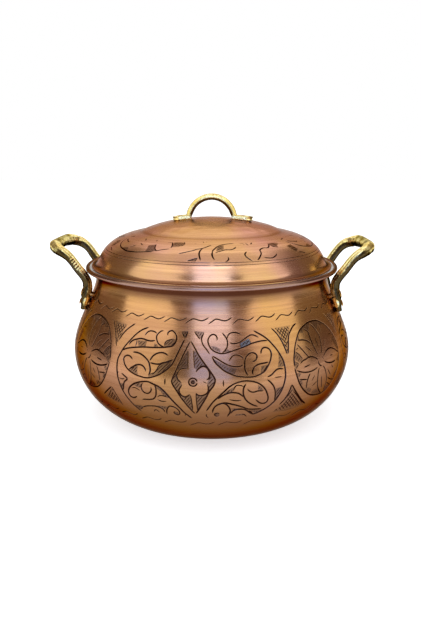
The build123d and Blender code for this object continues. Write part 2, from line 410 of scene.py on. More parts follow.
def makeObject(name, verts, faces, material, body, replaced):
    data = bpy.data.meshes.new(name)
    data.from_pydata([tuple(c * mm for c in v) for v in verts], [], faces)
    data.validate()
    piece = bpy.data.objects.new(name, data)
    bpy.context.scene.collection.objects.link(piece)
    data.materials.append(material)
    data.polygons.foreach_set("use_smooth", [True] * len(data.polygons))
    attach(piece, body)
    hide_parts(replaced)
    print(name, len(data.vertices), "corners", len(data.polygons), "faces")
    return piece


def addValues(piece, name, domain, values):
    layer = piece.data.attributes.new(name, "FLOAT", domain)
    layer.data.foreach_set("value", np.asarray(values, np.float32))


# Engraver's cuts. A plan is flat, in millimetres; each cut is a V with pointed ends.

cutShape = {
    "deep": 0.76,               # half widths of the two kinds of stroke
    "fine": 0.58,
    "grounds": (2.1, 0.44),     # spacing and half width of a ground's hatching
    "crossed": (2.6, 0.52),
    "hatchAngle": 50.0,
    "hatchTurn": 5.0,           # how far it strays from that angle
    "hatchVary": (0.85, 1.15),  # shares of the spacing
    "hatchTrim": (0.05, 0.3),   # how far a cut stops short of the outline
    "hatchLeast": 1.0,          # shorter cuts are left out
    "hatchStep": 1.6,
    "hatchTaper": 0.8,
    "curveSteps": 8,            # between two points of a traced stroke
    "taper": 2.6,               # length of a pointed end
    "slope": 0.62,              # depth for each mm of half width
    "step": 1.4,
    "reach": 0.8,               # how far from its line a cut is looked for
    "cell": 3.0,                # size of the squares that the cuts are sorted into
    "shallowest": 0.02,
    "plainSpacing": 4.0,        # corners of the plain metal, and their distance from a cut
    "plainRoom": 1.6,
    "mergeWithin": 1e-4,
}
# how dark each kind of ground is shown; the one with value 2 is a painted bluish sheen in its place
groundTone = {"field": 0.38, "crossed": 0.5, "grounds": 1.0, "paintedSheen": 2.0}


def newPlan():
    return {"points": [], "edges": [], "cuts": [], "grounds": []}


def lengthAlong(line):
    return np.concatenate([[0], np.cumsum(np.hypot(*np.diff(line, axis=0).T))])


def curveThrough(points, count):
    # A smooth curve through points, with count steps from each to the next
    ends = np.vstack([2 * points[0] - points[1], points, 2 * points[-1] - points[-2]])
    t = np.linspace(0, 1, count + 1)[:-1, None]
    spans = []
    for a, b, c, d in zip(ends, ends[1:], ends[2:], ends[3:]):
        spans.append(0.5 * (2 * b + (c - a) * t + (2 * a - 5 * b + 4 * c - d) * t**2
                            + (3 * b - a - 3 * c + d) * t**3))
    return np.vstack(spans + [points[-1:]])


def smoothLine(points, step):
    line = np.array(points, float)
    if len(line) > 2:
        line = curveThrough(line, cutShape["curveSteps"])
    run = lengthAlong(line)
    count = max(2, int(round(run[-1] / step)))
    stops = np.linspace(0, run[-1], count + 1)
    return np.column_stack([np.interp(stops, run, line[:, axis]) for axis in (0, 1)])


def addCut(plan, line, halfWidth, taper):
    run = lengthAlong(line)
    half = halfWidth * np.sqrt(np.clip(np.minimum(run, run[-1] - run) / taper, 0, 1))
    along = np.gradient(line, axis=0)
    along /= np.maximum(np.hypot(along[:, 0], along[:, 1]), tiny)[:, None]
    side = np.column_stack([-along[:, 1], along[:, 0]]) * half[:, None]
    first = len(plan["points"])
    count = len(line)
    plan["points"] += line.tolist() + (line + side)[1:-1].tolist() + (line - side)[1:-1].tolist()
    middle = list(range(first, first + count))
    for start in (first + count, first + 2 * count - 2):
        edge = [middle[0]] + list(range(start, start + count - 2)) + [middle[-1]]
        plan["edges"] += list(zip(edge, edge[1:]))
    plan["edges"] += list(zip(middle, middle[1:]))
    for a, b, wide, nextWide in zip(line.tolist(), line[1:].tolist(), half, half[1:]):
        plan["cuts"].append((*a, *b, wide, nextWide))


def insidePolygon(points, outline):
    inside = np.zeros(len(points), bool)
    x, y = points[:, 0], points[:, 1]
    for (ax, ay), (bx, by) in zip(outline, outline[1:] + outline[:1]):
        crosses = (ay > y) != (by > y)
        slant = (bx - ax) / ((by - ay) or tiny)
        inside ^= crosses & (x < ax + (y - ay) * slant)
    return inside


def hatch(plan, outline, angle, spacing, halfWidth, draw):
    # Parallel cuts across an outline
    shape = cutShape
    turn = math.radians(angle)
    along = np.array((math.cos(turn), math.sin(turn)))
    across = np.array((-along[1], along[0]))
    corners = np.array(outline)
    low, high = (corners @ across).min(), (corners @ across).max()
    offset = low + spacing * 0.5
    while offset < high:
        hits = []
        for a, b in zip(corners, np.roll(corners, -1, axis=0)):
            da, db = a @ across - offset, b @ across - offset
            if (da > 0) != (db > 0):
                hits.append((a + (b - a) * da / (da - db)) @ along)
        hits.sort()
        for start, end in zip(hits[::2], hits[1::2]):
            if end - start > shape["hatchLeast"]:
                trim = draw.uniform(*shape["hatchTrim"])
                ends = [across * offset + along * (start + trim), across * offset + along * (end - trim)]
                line = smoothLine(ends, max(shape["hatchStep"], (end - start) / 4))
                addCut(plan, line, halfWidth, shape["hatchTaper"])
        offset += spacing * draw.uniform(*shape["hatchVary"])


def addEdge(plan, corners):
    first = len(plan["points"])
    plan["points"] += corners
    plan["edges"] += [(first + i, first + i + 1) for i in range(len(corners) - 1)]


def addGround(plan, outline, tone):
    corners = [list(point) for point in outline]
    addEdge(plan, corners + corners[:1])
    plan["grounds"].append(([tuple(point) for point in outline], groundTone[tone]))


def cutDepths(points, cuts):
    # Depth below the surface at each point: the deepest V that covers it
    cuts = np.array(cuts)
    cell, reach = cutShape["cell"], cutShape["reach"]
    bins = {}
    low = np.minimum(cuts[:, 0:2], cuts[:, 2:4]) - reach
    high = np.maximum(cuts[:, 0:2], cuts[:, 2:4]) + reach
    for i, (a, b) in enumerate(zip((low // cell).astype(int), (high // cell).astype(int))):
        for x in range(a[0], b[0] + 1):
            for y in range(a[1], b[1] + 1):
                bins.setdefault((x, y), []).append(i)
    keys = (points // cell).astype(int)
    order = np.lexsort((keys[:, 1], keys[:, 0]))
    depths = np.zeros(len(points))
    breaks = np.flatnonzero(np.any(np.diff(keys[order], axis=0), axis=1)) + 1
    for group in np.split(order, breaks):
        near = bins.get(tuple(keys[group[0]]))
        if not near:
            continue
        c = cuts[near]
        start, way = c[:, 0:2], c[:, 2:4] - c[:, 0:2]
        length = np.maximum((way**2).sum(1), tiny)
        offset = points[group][:, None, :] - start[None]
        t = np.clip((offset * way[None]).sum(2) / length, 0, 1)
        gap = np.linalg.norm(offset - t[..., None] * way[None], axis=2)
        half = c[:, 4] + (c[:, 5] - c[:, 4]) * t
        depths[group] = np.maximum(0, (half - gap)).max(1) * cutShape["slope"]
    depths[depths < cutShape["shallowest"]] = 0
    return depths


def fillPlan(plan, candidates):
    # Plain corners where no cut is near
    tree = kdtree.KDTree(len(plan["points"]))
    for i, point in enumerate(plan["points"]):
        tree.insert((*point, 0), i)
    tree.balance()
    room = cutShape["plainRoom"]
    plan["points"] += [point for point in candidates if tree.find((*point, 0))[2] > room]


def triangulate(plan):
    corners = [Vector(point) for point in plan["points"]]
    found = delaunay_2d_cdt(corners, plan["edges"], [], 0, cutShape["mergeWithin"], False)
    return np.array([tuple(v) for v in found[0]]), [tuple(f) for f in found[2]]


# The belly's ornament. Points are (degrees round the pot from the camera, height in mm).

diamond = {
    "deep": [
        [(-7.9, 109.2), (-6.7, 105.5), (-4.6, 98.2), (-2.1, 90.7), (-0.5, 85.8), (1, 80.3), (1.1, 78),
         (0.5, 74), (-0.8, 69.7), (-2.1, 63), (-3.5, 56.7), (-4.9, 50.4), (-5.7, 47.6)],
        [(-7.9, 109.2), (-9.6, 101.3), (-10.9, 94.4), (-12.2, 87.5), (-13.3, 80.9), (-13.8, 77),
         (-13.4, 74), (-12, 68.7), (-10.4, 62.3), (-8.7, 56.3), (-6.5, 49.4), (-5.7, 47.6)],
        [(-8.4, 87.2), (-10, 87.6), (-11.3, 86), (-12, 83), (-11.9, 80), (-11.2, 77.5), (-10.1, 75.6)],
        [(-5.6, 84.8), (-5, 87), (-4, 89), (-2.9, 90), (-1.8, 89), (-1, 86.5), (-0.7, 83.5),
         (-1, 80.5), (-2, 78.8)],
        [(-10, 74.3), (-10.8, 72), (-11.2, 69.5), (-11, 67), (-10.4, 65), (-9.4, 63.8), (-8.4, 64.3),
         (-7.8, 65.8), (-7.3, 66.5)],
        [(-1.6, 76), (-1.2, 73), (-1.2, 70), (-1.7, 67.7), (-2.6, 66.3), (-3.8, 65.5), (-5, 66.3),
         (-5.4, 68.3)],
        [(-16.2, 72.8), (-16.2, 79.2)],
        [(3.9, 73), (3.9, 79.5)],
    ],
    "fine": [
        [(-3.2, 78.2), (-2.3, 77), (-1.5, 76.2)],
        [(-8.6, 102.5), (-8.4, 96), (-8.3, 90), (-8.2, 86)],
        [(-6.6, 102.5), (-6.4, 97), (-6.1, 91), (-6, 87.8)],
        [(-7.4, 66.5), (-7, 62), (-6.8, 57), (-6.6, 51)],
        [(-5.4, 68), (-5.3, 62), (-5.1, 56), (-5, 50.5)],
    ],
    "grounds": [
        [(-8.6, 102), (-9.4, 99), (-10.4, 95), (-11.5, 90), (-12.3, 86.5), (-11.3, 86.3), (-10, 87.8),
         (-8.5, 87.3), (-8.4, 95)],
        [(-6.5, 102), (-5.5, 100.5), (-4.2, 96.5), (-3, 92.8), (-2.3, 90.5), (-3, 90.2), (-4.2, 88.8),
         (-5, 87), (-6, 88.2), (-6.3, 95)],
        [(-13.3, 80), (-12.2, 86), (-12.1, 83), (-12, 79.5), (-11, 76.8), (-10.2, 75.3), (-10, 74.3),
         (-11.3, 72), (-11.3, 68), (-11, 66), (-12.2, 69), (-13.4, 74), (-13.7, 77)],
        [(-0.8, 86), (0.6, 82), (1, 78.5), (0.5, 74), (-0.8, 69), (-1.6, 66), (-1.4, 70), (-1.3, 74),
         (-1.6, 76.3), (-1.2, 79), (-0.8, 82)],
        [(-10.6, 62.5), (-9.5, 63.6), (-8.4, 64.3), (-7.4, 66.3), (-7, 62), (-6.8, 57), (-6.6, 51),
         (-7.5, 53), (-8.8, 57), (-9.8, 60)],
        [(-5.4, 68), (-4.6, 66), (-3.2, 65.6), (-1.8, 66.3), (-2.2, 63), (-3.4, 57), (-4.6, 51.5),
         (-5.1, 52), (-5.3, 60)],
    ],
}

leftScroll = {
    "deep": [
        # the scroll's two lobes and its frame
        [(-10.1, 110.4), (-10.8, 106.8), (-12, 100.7), (-13.4, 93.2), (-14.2, 89.7), (-15.9, 85.5),
         (-18.1, 81.6), (-20.3, 78.9), (-23, 77), (-25.8, 77.3), (-28.5, 78.6), (-31, 81.2),
         (-32.7, 84.8), (-33.5, 88.8), (-33.2, 91), (-32.1, 92.4), (-30.7, 91.9), (-29.4, 89.6)],
        [(-7.1, 42.6), (-9.6, 47.9), (-11.5, 53.4), (-14.2, 60.9), (-16.4, 67), (-18.4, 70.7),
         (-20.3, 72.3), (-22.5, 73.8), (-24.4, 73.3), (-26.3, 72), (-28.3, 69.7), (-29.8, 66.6),
         (-30.7, 63), (-30.8, 59.6), (-30.2, 57.1), (-29, 56.3), (-27.9, 57.3), (-27.2, 58.9)],
        [(-25.2, 116.6), (-26.6, 115.5), (-28.5, 113.3), (-30.6, 109.2), (-32.4, 104.3), (-34.2, 98.8),
         (-35.4, 93.2), (-36.2, 88.2), (-36.2, 82.9), (-35.9, 77.6), (-35.3, 71.7), (-34.3, 65),
         (-32.9, 58.6), (-31, 52.4), (-28.8, 47), (-26.6, 42.9)],
        [(-31.7, 118), (-33.5, 115.3), (-35.1, 112.3), (-36.5, 108.6), (-37.5, 104.3), (-38, 101.9)],
        [(-44.5, 117.6), (-41, 108.6), (-38.2, 97)],
        [(-45, 49.8), (-41.6, 56.5), (-39, 61.6)],
        [(-35.1, 44), (-37, 53.5), (-39, 61.6)],
        [(-11.5, 116), (-10.7, 112.5), (-10.1, 110.4)],
        [(-10.1, 110.4), (-9.6, 113), (-9, 116.5)],
        # upper cell
        [(-34.9, 95.1), (-33.5, 97.3), (-31.3, 98.8), (-29.9, 99.5), (-26, 101), (-22.5, 101.6),
         (-18.4, 102.5), (-16.2, 103.4), (-14.5, 104.3), (-13.5, 107.4), (-13.3, 111), (-14, 114),
         (-15.1, 115.8), (-16.2, 115.5), (-17, 113.7), (-16.7, 111.6)],
        [(-18.6, 115.2), (-19.7, 114.9), (-20.8, 112.8), (-21.3, 110.4), (-21, 108), (-20.3, 105.5),
         (-18.9, 103.7), (-17.5, 103.1)],
        [(-26.3, 109.5), (-25.8, 111.9), (-24.7, 113.8), (-23.3, 114.1), (-21.9, 113.4), (-21.3, 112.2)],
        [(-32.4, 100.3), (-32.1, 102.5), (-31, 104.9), (-29.6, 106.1), (-28, 107.1), (-26.3, 107.1),
         (-24.7, 106.5), (-23, 106.5), (-21.4, 107.4)],
        # middle cell
        [(-30.2, 95.7), (-28.5, 96), (-26.6, 95.4), (-24.7, 93.5), (-23, 90.4), (-22.2, 86.8),
         (-21.9, 82.9), (-22.5, 79)],
        [(-15.5, 96.6), (-17, 98.2), (-18.4, 98.6), (-20, 97.6), (-21.4, 95.4), (-22.2, 92.6),
         (-22.5, 90.7)],
        [(-22.5, 89.8), (-20.8, 89.3), (-18.9, 89.4), (-17.5, 90.7), (-15.6, 91.9), (-13.7, 94.4)],
        [(-30.7, 81.6), (-29.4, 83.5), (-28, 85.8), (-26.6, 86.8), (-25.2, 86.5), (-24.1, 84.5),
         (-23.5, 81.6)],
        [(-33.9, 77), (-32.4, 75), (-31, 73), (-32.1, 70.4), (-32.7, 67.7), (-33.2, 61)],
        # lower cell
        [(-21.5, 70), (-21.3, 67), (-22, 64.3), (-23, 63), (-24.4, 64), (-25.2, 67), (-25.1, 70.3),
         (-24.4, 72.3)],
        [(-20.3, 72.3), (-19.6, 69.7), (-19.5, 66.3), (-19.7, 62.3), (-20.6, 59), (-22.2, 57.6),
         (-23.9, 57), (-25.5, 56.3)],
        [(-25.8, 47.9), (-24.4, 49.8), (-22.5, 51), (-20.3, 51.7), (-18.6, 51), (-17.3, 49), (-17, 46)],
        [(-16.3, 44.1), (-16.2, 48.5), (-15.6, 51.7), (-14.8, 53.7), (-13.1, 53), (-11.8, 50.4),
         (-11.4, 47.3), (-12, 45.4), (-13.1, 46), (-13.6, 47.9), (-12.9, 49)],
    ],
    "fine": [
        [(-17.7, 103.5), (-17.3, 107.2), (-15.9, 108.8), (-13.7, 110)],
        [(-29.6, 106), (-29.2, 103.7), (-29.5, 100)],
        [(-13.7, 94.4), (-17.5, 90.4), (-18.9, 87.8), (-19.5, 84.8), (-20.3, 82.2), (-22.2, 80.3)],
        [(-35, 72.3), (-33.5, 71.7), (-32.1, 73)],
        [(-29.6, 65), (-28.3, 66.3), (-27.2, 66), (-25.5, 64.3)],
        [(-19.3, 60.6), (-18.4, 62.6), (-17, 63), (-15.3, 62)],
        [(-19.3, 59.3), (-18.4, 58), (-17, 57.6), (-15.6, 58.3)],
        [(-21.4, 45), (-20.8, 47.5), (-20, 47.8), (-19, 45.2)],
        [(-9.3, 47.6), (-9.6, 44.2)],
        [(-8.7, 45), (-7.1, 42.3)],
    ],
    "grounds": [
        [(-11.5, 116), (-10.1, 110.4), (-9, 116.5)],
        [(-17.7, 103.5), (-17.3, 107.2), (-15.9, 108.8), (-13.7, 110), (-13.5, 107.4), (-14.5, 104.3)],
        [(-29.1, 105.5), (-24.8, 106.1), (-25.1, 101.6), (-28, 100.7)],
        [(-21.7, 104.9), (-20.6, 104.6), (-19.8, 102.2), (-21.8, 102.2)],
        [(-13.7, 94.4), (-17.5, 90.4), (-18.9, 87.8), (-19.5, 84.8), (-20.3, 82.2), (-22.2, 80.3),
         (-22.5, 78), (-20, 79.9), (-18.1, 81.9), (-15.9, 85.8), (-14.4, 89.7)],
        [(-30.7, 81.4), (-28, 85.5), (-26.9, 85.5), (-27, 81.6), (-26.6, 78.4), (-29.1, 79.6)],
        [(-36, 79), (-35, 77), (-35.8, 73.7)],
        [(-34.9, 67), (-32.4, 68.3), (-32.7, 65), (-33.5, 60.4)],
        [(-28.3, 68.7), (-26, 71.7), (-25.2, 71), (-25.4, 67.7), (-26.6, 67)],
        [(-19.5, 71), (-17.8, 69), (-16.4, 66.3), (-14.5, 62.3), (-15.3, 61.3), (-17, 63.6),
         (-17.8, 67), (-18.9, 68.3)],
        [(-19.7, 53), (-14.8, 53), (-15.9, 51.7), (-16.4, 49.7), (-17.5, 50.4)],
        [(-29.9, 49.1), (-25.2, 49.7), (-26, 46), (-27.2, 44.8)],
        [(-13.4, 46.5), (-12.2, 46), (-11.9, 48), (-12.9, 48.8)],
    ],
    "crossed": [
        [(-43, 117), (-35.6, 116.2), (-36.6, 111), (-37.6, 105.5), (-38.3, 99.5), (-40.6, 109)],
        [(-44, 48.5), (-41.4, 55.5), (-39.1, 60.6), (-37.2, 52.5), (-35.8, 46), (-39.5, 46.4)],
    ],
}

rightScroll = {
    "deep": [
        # the scroll's outline, its big spiral and its frame
        [(-2.8, 115.8), (-3.6, 112.5), (-3.8, 109.8), (-3.2, 106.2), (-1.8, 102.5), (-0.6, 98.8)],
        [(-6.8, 116.3), (-5.4, 113), (-4.2, 110)],
        [(0, 98.2), (1.9, 95.7), (4.1, 92.6), (6, 90.4), (7.9, 89.4), (9.9, 89.4), (11.2, 91)],
        [(0, 97.9), (1.05, 93.2), (2.7, 89.4), (4.4, 86.1), (6.6, 83.5), (8.2, 81.9), (10.4, 80.9),
         (12.6, 80.3), (14.8, 80.4), (16.7, 81.6), (18.4, 83.5), (19.5, 86.1), (20.9, 90.7),
         (21.7, 95.1), (21.8, 98.2), (21.3, 100.7), (20, 102.2), (18.9, 101.9), (18.1, 100), (17.8, 97)],
        [(16, 116), (17.8, 113.7), (19.75, 111), (21.4, 108), (22.8, 104.3), (24.2, 100), (25.25, 95.7),
         (26.1, 91.3), (26.5, 86.8), (26.6, 82.2), (26.5, 77), (25.9, 71), (25.1, 65.7), (23.9, 60.3),
         (22.5, 55.7), (20.6, 51.7), (18.4, 48.5), (16.5, 46.3), (14.8, 45.4), (14, 47.9), (12.9, 50)],
        [(23.6, 116.4), (25, 113.4), (26.1, 109.8), (27, 105.5), (27.7, 100.7), (28.4, 94.1)],
        [(36, 117), (34, 115.2), (32.4, 112.5), (31, 109.2), (30.2, 105.5), (29.4, 99.4), (28.7, 94.1)],
        [(29.1, 69), (28.6, 64.3), (27.7, 59.6), (26.4, 55), (24.7, 51)],
        [(29.1, 69), (30.5, 63.6), (32.1, 58.3), (34.1, 52.4), (36, 47.9), (37.9, 44.4)],
        # upper cell
        [(1.7, 109.2), (2, 111), (1.6, 113.2), (0.5, 114.2), (-0.6, 113.2), (-1.4, 110.4), (-1.3, 107.4),
         (-0.6, 104.3), (0.5, 101.9), (1.9, 100.4), (3.25, 99.7), (4.9, 99.9), (6.8, 101), (8.75, 102.2),
         (10.7, 103.4), (12.6, 104.6), (14.8, 106.2), (17, 107.1), (18.9, 107.5), (21.4, 107.3)],
        [(3.8, 115.7), (4.9, 112.8), (5.6, 110.4), (5.8, 107.4), (5.5, 104.3), (4.6, 101.6), (3.5, 100)],
        [(5.6, 110.4), (6, 112.8), (6.8, 114.7), (8.2, 115.4), (9.6, 115), (11.4, 113.3)],
        [(6.3, 108), (7.9, 106.9), (9.9, 107.4), (11.5, 109.2), (13.2, 111.3), (14.8, 112.7),
         (16.2, 112.3), (17.3, 111), (18, 110)],
        # middle cell
        [(5.9, 93.2), (6.55, 95.7), (7.65, 97.9), (9, 98.2), (10.4, 97), (11.5, 94.4)],
        [(14, 92.6), (15.1, 92.6), (16, 94.4), (16.2, 97), (15.35, 98.8), (14.25, 99.2), (12.9, 97.9),
         (11.9, 95.1), (11.5, 91.3), (11.5, 87.5), (11.9, 84.2), (12.6, 81)],
        [(14.25, 81.6), (14.1, 84.2), (14.5, 86.8), (15.6, 89), (17, 90), (18.65, 90.3), (20.6, 90.8)],
        [(19.2, 78.6), (20.9, 80), (22.2, 82.2), (23.3, 83.9), (24.7, 84.2), (26.1, 83.2)],
        [(19.2, 77), (20.6, 74), (21.7, 70.4), (22.4, 65.7), (22.6, 60.3), (22.5, 55.7)],
        # lower cell
        [(-2, 50.4), (0.2, 59), (2.15, 64.3), (4.1, 69), (6, 73.3), (8.2, 76), (10.7, 77.3), (12.9, 77),
         (15.4, 75.3), (17.3, 72.3), (18.65, 68.3), (19.5, 63.6), (19.9, 59.6), (19.5, 56.3),
         (18.1, 55.3), (16.7, 56.6), (15.1, 60.3)],
        [(11.8, 75.3), (10.95, 72.3), (10.7, 68.3), (10.95, 64.3), (11.8, 60.3), (13.15, 57),
         (14.8, 54.4), (16.5, 52.7)],
        [(12, 71), (12.9, 68.3), (14.25, 67), (15.9, 67.7), (18.1, 67.3)],
        [(1.9, 62.3), (3.25, 65), (4.9, 67), (6.8, 68), (8.75, 67.3), (10.1, 65.3), (10.8, 63)],
        [(1.6, 56.3), (3.25, 58.3), (4.9, 58.6), (6.8, 57.3), (8.75, 55.7), (10.95, 53.4), (13.15, 51),
         (18, 50)],
        [(0.2, 48.5), (0.4, 51.7), (1.05, 55), (2.4, 57.6), (4.1, 58.3), (5.45, 56), (6.3, 52.4),
         (6.4, 49.1), (5.45, 44.1)],
        [(6.55, 47.3), (7.4, 50.4), (8.75, 51.7), (10.4, 51.7), (12, 50.4), (13.4, 47.6), (14.5, 45.1)],
    ],
    "fine": [
        [(7.3, 69), (7.6, 72), (8.4, 74), (10, 73.7), (11, 72.2)],
        [(22, 77.6), (25.3, 77.3)],
        [(5.7, 62), (7.1, 61), (8.75, 60.3), (10.4, 60.6)],
        [(10.4, 46.6), (11.5, 46), (12.7, 43)],
        [(-1.8, 48.5), (-2, 46), (-1.15, 43)],
        [(2.9, 47.5), (2, 48.8), (0.9, 47.6), (1.3, 45.6), (2.6, 45.4)],
    ],
    "grounds": [
        [(-6.7, 116.5), (-4, 110.5), (-2.8, 116)],
        [(-0.5, 105.5), (1.6, 104.9), (3, 103.1), (3.1, 100.7), (1.9, 101.3), (0.5, 102.8)],
        [(4.6, 100.7), (5.7, 103.1), (6.7, 101)],
        [(10.1, 106.8), (14, 110.4), (14.7, 106.5), (10.4, 103.1)],
        [(17.4, 88.2), (20, 89), (18.6, 83.5), (17, 82.2), (17.2, 85)],
        [(0.5, 95.7), (4.4, 91.3), (6, 89.2), (8.5, 87.8), (7.8, 83.2), (6, 84.5), (3.8, 87.5), (1.9, 92)],
        [(24.7, 97), (25.5, 92.6), (26.35, 86), (25.25, 85.2), (23.6, 85.5), (24.4, 90.7)],
        [(22.6, 67.7), (25.5, 69), (25, 65), (23.6, 59.6), (22.8, 56.3)],
        [(15.9, 73), (17, 71.7), (18.1, 67.7), (15.9, 68.3)],
        [(3.25, 65), (4.9, 69.3), (7.4, 73), (7.1, 69), (5.2, 67)],
        [(6.55, 53), (9.9, 53), (7.4, 51)],
        [(13.7, 49.8), (17, 49), (18.65, 49.8), (17, 46.6), (15.4, 46.2)],
        [(8.2, 45.2), (8.8, 46.8), (11, 46.8), (11.5, 45.2)],
        [(1.2, 45.8), (1.2, 48), (2.4, 48.2), (2.8, 46)],
    ],
    "crossed": [
        [(25, 116.2), (32.6, 116.2), (31, 110), (30, 105), (29.2, 99.4), (28.6, 95.6), (27.9, 101),
         (27.1, 106.3), (26.2, 111)],
        [(29.1, 68), (28.4, 62.5), (27.4, 57), (26.2, 52.6), (24.9, 49), (22.5, 44.5), (36.8, 44.5),
         (34, 51.6), (32, 57.4), (30.3, 63.2)],
    ],
}

rosette = {
    "deep": [
        [(30.6, 83), (30.9, 90), (31.5, 94), (32.3, 98.5), (33.5, 103), (34.9, 107), (36.5, 110.5),
         (38.7, 113), (41, 114.6), (43.5, 115.5), (46, 115.5), (48.5, 114.6), (50.5, 112.5),
         (52.5, 110), (54.5, 106), (56, 101.5), (57, 97), (57.8, 90), (57.6, 83), (57, 76), (56, 70),
         (54.3, 63), (52, 57), (49.5, 52.5), (46.5, 50), (44, 50.2), (41, 51.5), (38.3, 54), (36, 58),
         (34, 63), (32.5, 68.5), (31.7, 73), (31, 78.5), (30.6, 83)],
        # petals, clockwise from the top
        [(43.4, 88), (42.6, 90), (42, 94), (41.3, 99), (40.9, 104), (40.9, 108), (40, 109.8),
         (38.7, 111.5)],
        [(45, 87), (45.8, 91), (46.4, 96), (46.7, 101), (46.5, 104), (45.8, 107), (44.9, 110.5),
         (43.9, 112.6), (43.3, 114.2)],
        [(46, 85), (48, 88), (50.2, 89.5), (52, 89.2), (53.5, 88), (55, 86.2), (56.2, 84), (57.8, 82.2)],
        [(46, 81.3), (47, 79.5), (48.5, 78), (50.2, 77), (52, 76.6), (54, 77)],
        [(44.8, 77.5), (45.8, 75), (46.6, 71), (47.2, 67), (47.6, 63), (47.6, 59), (47.2, 55), (46.9, 52)],
        [(42.8, 77), (42.2, 74), (41.9, 70), (41.9, 65), (42.3, 60), (43, 57), (44, 54), (45, 51.5),
         (46, 50)],
        [(42, 77.8), (40, 76.5), (38, 76), (36, 76.3), (34.3, 77.2), (32.5, 78.7), (31.3, 80.2)],
        [(42.8, 84), (41.5, 86), (39.8, 88), (38, 88.3), (36.5, 87.4), (35, 86.8), (33.2, 84.8)],
        [(40.9, 99), (40, 100), (38.5, 102), (37, 103), (35.5, 103.4), (34, 103.7)],
        [(38.2, 88), (37, 91), (35.5, 95.5), (34.4, 98.5), (33.5, 101)],
        [(37.8, 74.8), (36.8, 71.5), (36.2, 67), (36.1, 62), (36, 60.5)],
        [(42.7, 83.5), (42.6, 81.5), (43, 79.5), (43.7, 78), (44.5, 77.7)],
        [(45.3, 86), (45.6, 84), (45.8, 82.5)],
    ],
    "fine": [
        [(43.9, 103), (43.9, 100), (44.3, 93.5)],
        [(37.2, 98.2), (40.2, 92)],
        [(38, 105), (38, 108)],
        [(33, 84.3), (31.4, 87.3)],
        [(34.7, 81), (38.3, 82)],
        [(31.8, 95.5), (33.5, 92.5), (35, 87.5)],
        [(34, 98), (32.5, 96.5)],
        [(32.3, 71.5), (34, 70.8), (36.5, 69.5)],
        [(40.2, 72), (39, 68), (38.4, 66.5)],
        [(41.7, 65.7), (40.5, 63.5), (38.9, 61.8)],
        [(38.3, 60.5), (38.8, 57.5)],
        [(43.9, 69), (44.4, 62), (45.2, 55.5)],
        [(47.8, 73), (49, 69), (50.3, 65.3)],
        [(47.9, 65), (49.3, 62.5), (51, 60.5), (53.3, 59)],
        [(47.7, 59.7), (49, 58), (50.3, 56), (51.5, 54.5)],
        [(50.6, 75.3), (51.3, 72.8), (51.9, 71)],
        [(50.2, 83.2), (52.5, 83)],
        [(48.2, 112), (48.4, 108), (48.5, 104)],
        [(47.5, 92), (49.5, 98)],
        [(53, 101), (56, 99.5)],
    ],
    "grounds": [
        [(36, 109), (38.8, 112.8), (41, 114.3), (43.3, 115.2), (42.2, 111.5), (41.2, 108.5),
         (40.2, 109.8), (38.8, 111.3), (38.2, 108), (36.8, 108.3)],
        [(43.6, 115.2), (46, 115.3), (48.5, 114.4), (50.5, 112.4), (51.5, 110.5), (49, 110),
         (48.2, 111.5), (46.3, 107.5), (45.2, 110.5)],
        [(33.8, 103.7), (35.3, 103.6), (35.5, 106.5), (34.6, 106)],
        [(31, 88), (31.4, 87.6), (32.8, 84.6), (32, 82), (31.2, 80.5), (30.8, 83), (30.9, 86)],
        [(31.2, 90), (31.6, 94.5), (32.6, 94), (33.6, 92), (34.8, 88), (33, 85.6), (31.6, 88.5)],
        [(31.4, 77), (32.6, 78.3), (33.3, 76), (32.4, 73.5), (31.8, 74)],
        [(32.2, 70.8), (33.8, 70.4), (34, 67), (34.2, 65), (33, 67)],
        [(34.5, 63), (36.2, 60.3), (36.8, 62), (38, 60.8), (38.8, 57.2), (38.6, 55.5), (36, 58.8)],
        [(39.5, 56.5), (41.5, 57.5), (43, 57), (44, 54), (45.6, 50.6), (44, 50.4), (41.5, 51.7),
         (39.2, 54)],
        [(46.6, 51), (47.2, 55), (48, 57), (50, 55.5), (51.5, 54.6), (49.5, 52.5), (47.8, 51)],
        [(56, 70), (54.3, 64), (53, 60.5), (52.2, 63), (54.5, 67)],
        [(57.7, 82), (57.3, 77), (56.5, 74), (54.5, 76.5), (56, 79)],
        [(57.6, 85), (57.2, 92), (56.2, 98), (54.5, 96), (55.5, 90), (56.3, 86)],
    ],
}

# points of one curl, and how many of them go round
wave = {
    "upper": ([(0, 121.8), (1.6, 124), (3, 125.8), (4.2, 125.6), (5.6, 124.8), (7, 124.5), (8.4, 125.6),
               (9.7, 127.3)], 39),
    "lower": ([(0, 34), (2, 36.5), (3.5, 38), (5, 37.3), (6.5, 36.6), (8, 37.2), (9.6, 39.5)], 36),
    "start": -38,               # degrees
    "stray": (0.5, 0.6),        # how far a curl is out of its place, in degrees and mm
}

layout = {
    "panelMiddle": -5.0,
    # middle and width of each panel; middle, width (turned about below 0) and lift of each rosette
    "panels": [(-5.0, 1.0), (87.93, 0.823), (175.0, 0.823), (262.07, 0.823)],
    "rosetteMiddle": 44.4,
    "rosettes": [(44.4, 1.0, 0.0), (131.47, 1.0, 0.0), (218.53, -1.036, 1.2), (305.6, -1.036, 1.2)],
    "ringPlace": (-6.4, 77.0),  # the ring in the middle of each four-petalled flower
    "ringRadii": (3.4, 1.0),
    "ringTaper": 0.6,
    "coreRadius": 2.4,          # the hatched middle of that ring
    "coreArc": (0, 5.5, 8),     # from, to and corners, in radians
    "sheenPatch": [(10.3, 106.6), (13.8, 110.2), (14.5, 106.7), (10.5, 103.3)],
    "sheenPatchHatch": (100.0, 1.1),  # angle and spacing
}


# Pot

